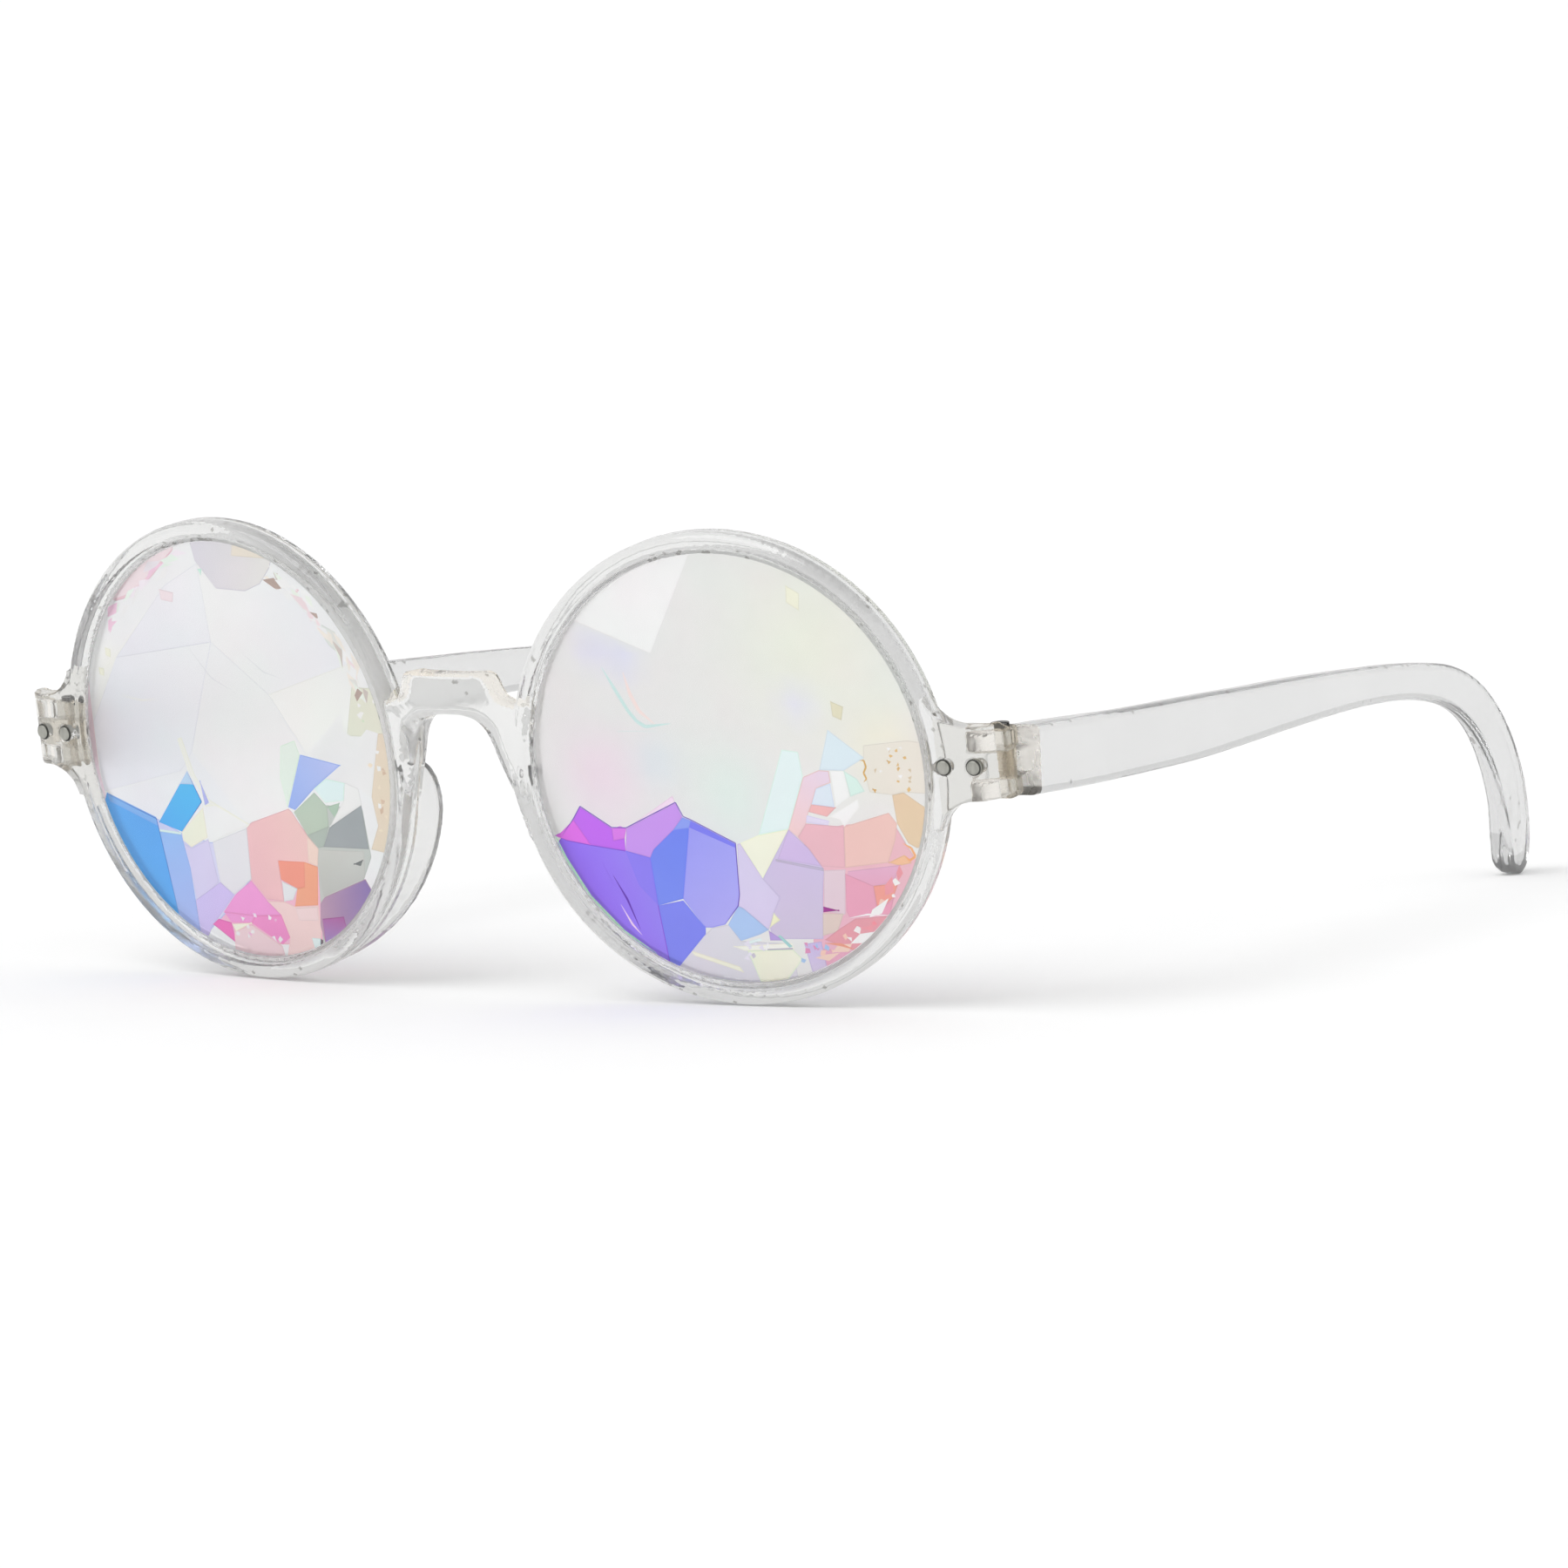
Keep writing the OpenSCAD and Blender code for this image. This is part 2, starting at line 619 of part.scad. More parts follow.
frame_front();
lens(LEFT, facets_left);  // lens_left
lens(RIGHT, facets_right);  // lens_right
temple(LEFT);  // temple_left
temple(RIGHT);  // temple_right
hinge_screw(LEFT);  // hinge_screw_left
hinge_screw(RIGHT);  // hinge_screw_right
color(steel_colour) stand() mirrored(LEFT) rivet(false);  // rivet_left_inner
color(steel_colour) stand() mirrored(LEFT) rivet(true);  // rivet_left_outer
color(steel_colour) stand() mirrored(RIGHT) rivet(false);  // rivet_right_inner
color(steel_colour) stand() mirrored(RIGHT) rivet(true);  // rivet_right_outer
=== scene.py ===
import json
import math
import random

import bpy
import bmesh
from mathutils import Matrix, Vector
from mathutils.geometry import delaunay_2d_cdt


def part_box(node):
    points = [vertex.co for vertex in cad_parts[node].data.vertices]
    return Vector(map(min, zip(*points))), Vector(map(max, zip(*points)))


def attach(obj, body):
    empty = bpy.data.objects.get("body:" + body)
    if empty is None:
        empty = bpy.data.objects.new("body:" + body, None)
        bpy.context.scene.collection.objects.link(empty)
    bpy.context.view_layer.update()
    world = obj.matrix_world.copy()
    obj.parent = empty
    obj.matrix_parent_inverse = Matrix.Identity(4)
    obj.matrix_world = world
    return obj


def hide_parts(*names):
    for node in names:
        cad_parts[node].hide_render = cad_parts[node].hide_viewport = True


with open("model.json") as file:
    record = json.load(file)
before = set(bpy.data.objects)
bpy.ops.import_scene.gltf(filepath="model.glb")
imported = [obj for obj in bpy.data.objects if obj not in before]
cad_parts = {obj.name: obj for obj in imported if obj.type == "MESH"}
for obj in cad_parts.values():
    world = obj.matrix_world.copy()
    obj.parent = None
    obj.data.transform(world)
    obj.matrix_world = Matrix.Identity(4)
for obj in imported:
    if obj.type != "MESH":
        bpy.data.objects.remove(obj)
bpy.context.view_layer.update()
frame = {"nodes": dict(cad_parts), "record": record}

MM = 0.001

# The glasses as the drawing has them: the front leans forward and each rim turns outwards.
LEAN_AXIS = frame["record"]["behaviour"]["joints"][0]["axis"]
LEAN = math.atan2(-LEAN_AXIS[1], LEAN_AXIS[2])
FRONT_AT = Vector((0, -70.926, 28.135)) * MM
RIM_SIDE = 36.65 * MM
WRAP = math.radians(7.2)

# The lens: a cut crown that stands in the opening, on a thin flange that sits in the rim's groove.
CROWN_R = 25.8
CROWN_SET_BACK = 0.1
DOME_R = 270.0
FLANGE_R = 26.6
FLANGE_BACK = 2.78
# How far the flange's front lies behind the crown's edge.
FLANGE_STEP = 0.02


def lens_axes(side):
    """A rim's middle and its directions across, up and out of its front; side is 1 left, -1 right."""
    lean = Matrix.Rotation(LEAN, 3, "X")
    turn = WRAP * side
    origin = lean @ Vector((side * RIM_SIDE, 0, 0)) + FRONT_AT
    across = lean @ Vector((math.cos(turn), math.sin(turn), 0))
    up = lean @ Vector((0, 0, 1))
    out = lean @ Vector((math.sin(turn), -math.cos(turn), 0))
    return origin, across, up, out


def linear(colour):
    """The scene-linear values of a colour as a screen has it, 0 to 255."""
    out = []
    for c in colour:
        c = c / 255
        out.append(c / 12.92 if c <= 0.04045 else ((c + 0.055) / 1.055) ** 2.4)
    return tuple(out)


def new_object(name, mesh):
    obj = bpy.data.objects.new(name, mesh)
    bpy.context.scene.collection.objects.link(obj)
    return obj


# Materials. Noise scales are in features per metre, heights in metres.

CLOUD_SCALE = 90
CLOUD_GAIN = 1.03
SCUFF_SCALE = 700
FLOW_SCALE = 160
FLOW_HEIGHT = 0.1 * MM
# The pointiness from which painted shade darkens a moulding's sharp edges, and where it is full.
SHADED_EDGES = (0.53, 0.58)
# The colour of the painted shade along a moulding's sharp edges.
EDGE_SHADE_COLOUR = (0.42, 0.41, 0.39)

CRYSTAL_IOR = 1.5
FILM_CLOUD_SCALE = 110
FILM_CLOUDS = ((1, 0.975, 0.985), (0.975, 1, 0.985))
POLISH_SCALE = 500

GRAIN_SCALE = 3000
GRAIN_STRETCH = (1, 1, 0.2)
GRAIN_HEIGHT = 0.05 * MM
# Where the screw's head starts, as a share of its height; the head is painted dark as a dark reflection.
SCREW_HEAD = (0.86, 0.9)


def new_material(name):
    """A material with a Principled shader alone."""
    mat = bpy.data.materials.new(name)
    mat.use_nodes = True
    tree = mat.node_tree
    tree.nodes.clear()
    out = tree.nodes.new("ShaderNodeOutputMaterial")
    shader = tree.nodes.new("ShaderNodeBsdfPrincipled")
    tree.links.new(shader.outputs["BSDF"], out.inputs["Surface"])
    return mat, tree, shader


def add_noise(tree, scale, detail, stretch=(1, 1, 1)):
    coords = tree.nodes.new("ShaderNodeTexCoord")
    mapping = tree.nodes.new("ShaderNodeMapping")
    mapping.inputs["Scale"].default_value = stretch
    tree.links.new(coords.outputs["Object"], mapping.inputs["Vector"])
    tex = tree.nodes.new("ShaderNodeTexNoise")
    tex.inputs["Scale"].default_value = scale
    tex.inputs["Detail"].default_value = detail
    tree.links.new(mapping.outputs["Vector"], tex.inputs["Vector"])
    return tex.outputs["Fac"]


def spread(tree, value, low, high, start=0.3, end=0.7):
    """The value's range from start to end, drawn out from low to high; noise fills 0.3 to 0.7."""
    node = tree.nodes.new("ShaderNodeMapRange")
    node.inputs["From Min"].default_value = start
    node.inputs["From Max"].default_value = end
    node.inputs["To Min"].default_value = low
    node.inputs["To Max"].default_value = high
    tree.links.new(value, node.inputs["Value"])
    return node.outputs["Result"]


def mix_colours(tree, factor, first, second, blend="MIX"):
    node = tree.nodes.new("ShaderNodeMix")
    node.data_type = "RGBA"
    node.blend_type = blend
    for value, socket in ((factor, node.inputs[0]), (first, node.inputs[6]), (second, node.inputs[7])):
        if isinstance(value, bpy.types.NodeSocket):
            tree.links.new(value, socket)
        elif isinstance(value, (int, float)):
            socket.default_value = value
        else:
            socket.default_value = (*value, 1)
    return node.outputs[2]


def mix_values(tree, share, first, second):
    node = tree.nodes.new("ShaderNodeMix")
    for value, socket in ((share, node.inputs[0]), (first, node.inputs[2]), (second, node.inputs[3])):
        if isinstance(value, bpy.types.NodeSocket):
            tree.links.new(value, socket)
        else:
            socket.default_value = value
    return node.outputs[0]


def add_bump(tree, shader, height, strength, distance):
    bump = tree.nodes.new("ShaderNodeBump")
    bump.inputs["Strength"].default_value = strength
    bump.inputs["Distance"].default_value = distance
    tree.links.new(height, bump.inputs["Height"])
    tree.links.new(bump.outputs["Normal"], shader.inputs["Normal"])


def clear_plastic(name, tint, clarity, ior, roughness):
    """Clear moulded plastic with a haze on its skin, flow marks and scuffs, and painted shade along its sharp
    edges.
    """
    mat, tree, shader = new_material(name)
    shader.inputs["IOR"].default_value = ior
    shader.inputs["Transmission Weight"].default_value = clarity
    cloud = add_noise(tree, CLOUD_SCALE, 3)
    pale = tuple(min(1, c * CLOUD_GAIN) for c in tint)
    colour = mix_colours(tree, spread(tree, cloud, 0, 1), tint, pale)
    shape = tree.nodes.new("ShaderNodeNewGeometry")
    # Painted shade: the sharp outer edges are darkened towards the shade colour.
    edges = spread(tree, shape.outputs["Pointiness"], 0, 1, *SHADED_EDGES)
    shaded_edge = mix_colours(tree, edges, (1, 1, 1), EDGE_SHADE_COLOUR)
    colour = mix_colours(tree, 1.0, colour, shaded_edge, "MULTIPLY")
    tree.links.new(colour, shader.inputs["Base Color"])
    scuffs = spread(tree, add_noise(tree, SCUFF_SCALE, 4), roughness, roughness * 3)
    tree.links.new(scuffs, shader.inputs["Roughness"])
    add_bump(tree, shader, add_noise(tree, FLOW_SCALE, 2), 0.2, FLOW_HEIGHT)
    return mat


def cut_crystal(name, roughness, clarity):
    """Crystal with a coloured film: each facet's tint is painted on the mesh, with faint clouds."""
    mat, tree, shader = new_material(name)
    shader.inputs["Transmission Weight"].default_value = clarity
    shader.inputs["IOR"].default_value = CRYSTAL_IOR
    paint = tree.nodes.new("ShaderNodeAttribute")
    paint.attribute_name = "film"
    cloud = mix_colours(tree, spread(tree, add_noise(tree, FILM_CLOUD_SCALE, 2), 0, 1), *FILM_CLOUDS)
    colour = mix_colours(tree, 1.0, paint.outputs["Color"], cloud, "MULTIPLY")
    tree.links.new(colour, shader.inputs["Base Color"])
    polish = spread(tree, add_noise(tree, POLISH_SCALE, 3), roughness, roughness * 1.3)
    tree.links.new(polish, shader.inputs["Roughness"])
    return mat


def worked_steel(name, colour, dark, roughness):
    """Steel with a fine grain of brightness, roughness and height."""
    mat, tree, shader = new_material(name)
    shader.inputs["Metallic"].default_value = 1
    grain = add_noise(tree, GRAIN_SCALE, 3, GRAIN_STRETCH)
    tree.links.new(mix_colours(tree, spread(tree, grain, 0, 1), dark, colour), shader.inputs["Base Color"])
    tree.links.new(spread(tree, grain, roughness, roughness + 0.2), shader.inputs["Roughness"])
    add_bump(tree, shader, grain, 0.3, GRAIN_HEIGHT)
    return mat


def screw_with_painted_dark_head(name):
    """A screw with a bright turned shank and a head painted near black: a painted dark reflection."""
    mat, tree, shader = new_material(name)
    shader.inputs["Metallic"].default_value = 1
    coords = tree.nodes.new("ShaderNodeTexCoord")
    height = tree.nodes.new("ShaderNodeSeparateXYZ")
    tree.links.new(coords.outputs["Generated"], height.inputs[0])
    head = spread(tree, height.outputs["Z"], 0, 1, *SCREW_HEAD)
    grain = spread(tree, add_noise(tree, GRAIN_SCALE, 3, GRAIN_STRETCH), 0, 1)
    bright = mix_colours(tree, grain, (0.82, 0.8, 0.76), (0.92, 0.9, 0.86))
    # The head's near black is a painted dark reflection.
    dark = mix_colours(tree, grain, (0.04, 0.04, 0.04), (0.13, 0.125, 0.12))
    tree.links.new(mix_colours(tree, head, bright, dark), shader.inputs["Base Color"])
    tree.links.new(spread(tree, grain, 0.22, 0.42, 0, 1), shader.inputs["Roughness"])
    add_bump(tree, shader, grain, 0.3, GRAIN_HEIGHT)
    return mat


# The clear mouldings

SKIN_VOXEL = 0.2 * MM
SOFTEN_SHARE = 0.5
SOFTEN_ROUNDS = 3


def moulded_copy(node, name, body, material):
    """A CAD solid with its edges softened as a moulding's are, in one smooth skin."""
    mesh = frame["nodes"][node].data.copy()
    bm = bmesh.new()
    bm.from_mesh(mesh)
    bmesh.ops.remove_doubles(bm, verts=bm.verts, dist=1e-6)
    bm.to_mesh(mesh)
    bm.free()
    obj = new_object(name, mesh)
    skin = obj.modifiers.new("skin", "REMESH")
    skin.mode = "VOXEL"
    skin.voxel_size = SKIN_VOXEL
    soften = obj.modifiers.new("soften", "SMOOTH")
    soften.factor = SOFTEN_SHARE
    soften.iterations = SOFTEN_ROUNDS
    graph = bpy.context.evaluated_depsgraph_get()
    done = bpy.data.meshes.new_from_object(obj.evaluated_get(graph))
    obj.modifiers.clear()
    obj.data = done
    done.materials.clear()
    done.materials.append(material)
    done.shade_smooth()
    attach(obj, body)
    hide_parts(node)
    return obj


# The places round the hinges and on the bridge that get a plastic of their own. Lengths are in mm:
# out from a rim's middle, up from it and behind the front's face.

PLATE_REACH = (26.9, 37)
PLATE_HALF_HEIGHT = 9
PLATE_DEPTH = 2
KNUCKLE_REACH = 29.2
KNUCKLE_DEPTH = 2.85
# A face that looks outwards by more than this is the side wall's outside.
OUTSIDE_TURN = 0.6
BRIDGE_HALF_WIDTH = 9.5
BRIDGE_HEIGHT = 2
# A face of the bridge that looks upwards by more than this is a slope.
BRIDGE_RISE = 0.25
# How far a temple's tongue reaches behind the hinge.
TONGUE_LENGTH = 4.2


def side_of(face):
    return 1 if face.center.x > 0 else -1


def on_end_piece(face):
    """Where a face of the front lies: mm out from its rim's middle, up from it and behind its face."""
    side = side_of(face)
    origin, across, up, out = lens_axes(side)
    offset = (face.center - origin) / MM
    return offset.dot(across) * side, offset.dot(up), -offset.dot(out)


def behind_plate(face):
    """True on the back of an end piece and on the step between it and its rim."""
    reach, height, depth = on_end_piece(face)
    return PLATE_REACH[0] < reach < PLATE_REACH[1] and depth > PLATE_DEPTH and abs(height) < PLATE_HALF_HEIGHT


def at_knuckles(face):
    """True on the knuckles, their roots and the inside of the side wall."""
    reach, _, depth = on_end_piece(face)
    side = side_of(face)
    outwards = face.normal.dot(lens_axes(side)[1]) * side
    return reach > KNUCKLE_REACH and depth > KNUCKLE_DEPTH and outwards < OUTSIDE_TURN


def at_bridge(face):
    """True on the top and the slopes of the bridge."""
    up = lens_axes(1)[2]
    height = (face.center - FRONT_AT).dot(up) / MM
    beside = abs(face.center.x) / MM
    return beside < BRIDGE_HALF_WIDTH and height > BRIDGE_HEIGHT and face.normal.dot(up) > BRIDGE_RISE


def round_tongue(face):
    """True on a temple's tongue and the notches beside it."""
    left, right = frame["record"]["behaviour"]["joints"]
    hinge = Vector((left if side_of(face) > 0 else right)["pos_m"])
    return face.center.y - hinge.y < TONGUE_LENGTH * MM


def line_hinge(obj, linings):
    """Gives the faces round a hinge, where the mould is left unpolished, their own materials."""
    mesh = obj.data
    for material, _ in linings:
        mesh.materials.append(material)
    for face in mesh.polygons:
        for index, (_, is_there) in enumerate(linings):
            if is_there(face):
                face.material_index = index + 1


# Rivets: a head with a flat top, a turned edge and a seat round it painted dark as shadow, as a profile of
# share of the head's radius and depth in mm behind its top.

RIVET_PROFILE = [(0, 0), (0.4, 0.005), (0.74, 0.03), (0.82, 0.09), (0.86, 0.2), (0.93, 0.22), (0.98, 0.26),
                 (1, 0.4), (1, 1.6), (0.94, 1.9), (0, 1.95)]
RIVET_SHADOW_RINGS = (3, 4, 5)
RIVET_R = 1.0
RIVET_HALF = 0.975
RIVET_STEPS = 40


def turned_rivet(name, node, side, top_mat, shadow_mat):
    """A rivet turned from the profile about the middle of its solid."""
    low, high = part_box(node)
    middle = (Vector(low) + Vector(high)) / 2
    _, across, up, out = lens_axes(side)
    bm = bmesh.new()
    rings = []
    for share, depth in RIVET_PROFILE:
        centre = middle + out * (RIVET_HALF * MM - depth * MM)
        if share == 0:
            rings.append([bm.verts.new(centre)])
            continue
        reach = share * RIVET_R * MM
        ring = []
        for i in range(RIVET_STEPS):
            angle = 2 * math.pi * i / RIVET_STEPS
            offset = across * reach * math.cos(angle) + up * reach * math.sin(angle)
            ring.append(bm.verts.new(centre + offset))
        rings.append(ring)
    for k, (first, second) in enumerate(zip(rings, rings[1:])):
        for i in range(RIVET_STEPS):
            j = (i + 1) % RIVET_STEPS
            around = [first[i % len(first)], second[i % len(second)], second[j % len(second)],
                      first[j % len(first)]]
            face = bm.faces.new(list(dict.fromkeys(around)))
            face.smooth = True
            # The seat's rings take the dark material: painted shadow in the gap round the head.
            face.material_index = 1 if k in RIVET_SHADOW_RINGS else 0
    bmesh.ops.recalc_face_normals(bm, faces=bm.faces)
    mesh = bpy.data.meshes.new(name)
    bm.to_mesh(mesh)
    bm.free()
    mesh.materials.append(top_mat)
    mesh.materials.append(shadow_mat)
    obj = new_object(name, mesh)
    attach(obj, "front")
    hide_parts(node)


# The cut lenses. A facet is a name, its corners in mm on the lens as seen from in front of the
# wearer (u to +X, v up), its colour and, where that changes, the colour it runs to and the way it
# runs in degrees. Each facet lies over the ones before it.

LEFT_FACETS = [
    ("white top", "-18.7,18 -8.3,14.1 -1.9,26.2 -8,28 -21,23", (254, 252, 253), (254, 253, 243), 60),
    ("rose bed", "8.7,-7.5 14.8,-6.5 21,-6 23.5,-11 20,-18 14,-23.5 8,-25.5 9.5,-17 11.2,-12",
     (237, 192, 200), (232, 184, 204), -90),
    ("yellow patch", "10.3,22 12,21 11.8,19 10.2,20", (239, 238, 220)),
    ("olive patch", "14.8,8.3 16.4,7.6 16,6 14.9,6.5", (226, 221, 196)),
    ("mint", "7.9,2.6 10,2.3 10.3,-0.7 7.6,-7 3.6,-7.7", (228, 252, 242)),
    ("yellow", "1,-8.7 3.6,-7.7 7.6,-7 3.4,-13", (252, 255, 225)),
    ("lilac left", "0.6,-8.8 1,-8.7 3.4,-13 5.3,-15.3 4.2,-17.2 3.4,-19 3.2,-19.3 0.3,-16.7 -0.4,-16.4 0,-15",
     (218, 208, 236)),
    ("lilac middle", "3.4,-13 7.6,-7 11.3,-11.5 11.5,-12 11,-15 10.7,-17 10.2,-20.4 3.6,-20.4 3.4,-19 "
     "4.2,-17.2 5.3,-15.3", (212, 198, 234), (212, 202, 224), -90),
    ("purple lilac", "7.6,-7 9.9,-9.3 11.3,-11.5 5.7,-10.6", (212, 192, 232)),
    ("grey streak", "5.4,-10.6 11.5,-11.7 11.5,-12.1 5.4,-10.9", (198, 188, 214)),
    ("rose beige", "11.5,-12 14.3,-11.9 13.5,-17.4 10.8,-17", (228, 208, 218)),
    ("beige", "10.6,-17.2 13.3,-17.3 12.2,-19.5 10.2,-20", (225, 208, 200)),
    ("magenta dart", "10.8,-16.4 12.8,-16.9 10.7,-17.1", (165, 60, 150)),
    ("yellow chip", "4.2,-17.2 4.9,-18.1 3.4,-19", (240, 240, 205)),
    ("pink band", "10.3,-0.7 12.4,0.1 13.7,0 13.8,-1.4 11.8,-2.1 11,-4 10.5,-4.9 10,-6.3 8.7,-8 7.6,-7",
     (240, 208, 208), (232, 215, 232), 60),
    ("pale blue", "11.8,-2.1 13.7,-1.5 13.9,-4.4 11,-4", (222, 232, 255)),
    ("pink bar", "11,-4 14.1,-4.4 12.8,-5.5 10.5,-4.9", (240, 188, 188)),
    ("violet strip", "10.2,-5.3 13,-6 12.8,-6.6 10,-6.2", (228, 222, 250)),
    ("white shard", "13.9,0 15.6,0 16,-3.1 14.1,-4.3", (250, 251, 250)),
    ("white shard low", "13,-5.5 17,-3.4 17.1,-4.4 14.9,-6.7 14.4,-5.9", (250, 250, 248)),
    ("blue triangle", "14.1,4.9 12.5,0.1 15.6,0 18.4,1.5", (222, 235, 245)),
    ("mint stripe", "15.6,0 17.2,-1 18,-2.5 16.1,-3.1", (220, 241, 234)),
    ("sand", "18.4,3 24,3.5 27,3 27,-3 22.9,-2.7 21.4,-3 18.6,-2.6 18.2,0", (234, 229, 219)),
    ("tan", "21.4,-3 22.9,-2.7 24.6,-4 26,-5 26,-9 23.7,-9.4 22.7,-8.8 21.6,-6.4", (231, 208, 178)),
    ("gold spot", "19,-2.2 19.5,-2.3 19.3,-2.7", (222, 180, 110)),
    ("gold spot right", "21.2,1.2 21.7,1 21.4,0.7", (225, 190, 130)),
    ("rose", "10,-6.3 14.8,-6.7 14.3,-11.7 11.3,-11.5 9.9,-9.3 8.7,-8", (236, 189, 199)),
    ("rose light", "14.8,-6.7 20.7,-5.1 21.6,-6.4 21.1,-8.5 19.9,-11.1 14.3,-11.7", (239, 202, 195)),
    ("orange", "19.9,-11.1 22,-10.2 22.8,-11.2 21.3,-11.5", (241, 194, 158)),
    ("mauve", "14.6,-12.1 21.4,-11.4 20.2,-13.5 17.5,-14 13.7,-17", (228, 180, 207), (233, 165, 190), -90),
    ("salmon", "17.6,-13.9 20.8,-13.6 19.9,-15.4 17.7,-17", (239, 164, 153)),
    ("mauve low", "13.7,-17 14.2,-12.4 17.6,-13.9 17.7,-17 20,-15.4 19.2,-17.4 14,-17.8", (233, 168, 192)),
    ("deep pink", "12.2,-19.3 14.7,-17.9 18.9,-17.6 16.9,-20.3 14.5,-22 10.4,-20.5", (229, 163, 174)),
    ("pink foot", "9.9,-21.6 13.9,-22 12.5,-25 10,-25", (229, 174, 196)),
    ("lavender thread", "7.6,-21 9.9,-20.7 10.2,-25 8.2,-25", (206, 190, 232), (218, 208, 230), -90),
    ("violet wedge", "3.2,-19.4 5,-20.6 3.2,-20.6", (190, 165, 225)),
    ("grey lilac", "-11,-23 -5.3,-19.9 -4.3,-19.1 -2,-18.7 -0.7,-20.7 6,-21 6.2,-27 -11,-27",
     (222, 220, 228)),
    ("cyan sliver", "-0.3,-20.9 2,-20.3 2.1,-20.6 -0.2,-21.2", (235, 252, 252)),
    ("cream strip", "-1.8,-21.4 6,-20.9 6.2,-21.6 -0.4,-21.9", (252, 250, 235)),
    ("grey thread", "2,-21.7 6,-21.5 6,-21.8 2,-22", (195, 188, 208)),
    ("yellow foot", "0,-21.9 6,-21.7 7.1,-22.9 4.5,-25.7 3,-27 1.4,-26.8",
     (238, 251, 222), (253, 247, 228), 0),
    ("cream sliver", "-7.7,-22 -7.3,-22.6 -1,-24.6 -1.4,-23.9", (252, 250, 226)),
    ("sea sliver", "4.6,-19.9 6,-21.3 5.6,-21.5 4.3,-20.1", (170, 215, 215)),
    ("light blue", "-0.4,-16.4 0.3,-16.7 3.2,-19.3 1.9,-19.9 -0.7,-20.7 -2.1,-18.7", (178, 205, 248)),
    ("periwinkle", "-5.6,-6.8 -5.2,-6 0.4,-8.8 0,-15 -0.4,-16.4 -2.5,-18.7 -4.3,-19.1 -5.2,-19.1 -7.7,-15.6 "
     "-5.8,-7.8", (158, 158, 253), (178, 174, 251), -60),
    ("periwinkle top", "-5.6,-6.8 -5.2,-6 0.4,-8.8 0.4,-9.3", (130, 130, 255)),
    ("blue low", "-11.2,-16.5 -7.7,-15.8 -5.2,-19.1 -5.3,-19.9 -10.1,-24.5 -10.7,-25", (133, 140, 255)),
    ("deep blue", "-7.8,-7.2 -5.6,-6.8 -5.8,-7.8 -7.7,-15.6 -11.2,-16.5 -11.4,-10.6 -10.8,-9.6 -8.8,-8",
     (116, 138, 255), (126, 146, 255), -90),
    ("blue cap", "-6.3,-5.6 -5.2,-6 -5.6,-6.9 -7.8,-7.2", (145, 165, 255)),
    ("violet", "-22.8,-8.7 -19.5,-9.2 -14.7,-9.8 -11.4,-10.6 -11.2,-16.5 -10.7,-25 -15,-24 -27,-12 "
     "-23.5,-8.4", (150, 92, 236), (158, 140, 255), 20),
    ("violet bright", "-14.7,-9.8 -11.4,-10.6 -11.2,-16.5 -13.5,-14", (146, 130, 255)),
    ("magenta", "-21.5,-6.2 -20.3,-4.6 -16.2,-7.1 -16.2,-8.6 -14.6,-8.3 -14.7,-9.8 -19.5,-9.2 -20.2,-8.1",
     (200, 110, 245)),
    ("magenta left", "-24.5,-8.2 -23.5,-7.8 -21.5,-6.2 -20.2,-8.1 -19.5,-9.2 -22.8,-8.7", (228, 115, 235)),
    ("pink chip", "-16.2,-7.1 -15,-6.8 -14.2,-7.1 -14.6,-8.3 -16.2,-8.6", (222, 130, 236)),
    ("pink glow", "-14.2,-7.1 -7.3,-3 -7,-3.9 -13.8,-7.2", (246, 222, 240)),
    ("pink lilac", "-14.2,-7.1 -7,-3.9 -6.3,-5.6 -7.8,-7.2 -8.8,-8 -10.8,-9.6 -11.4,-10.6 -14.7,-9.8",
     (205, 155, 240)),
]

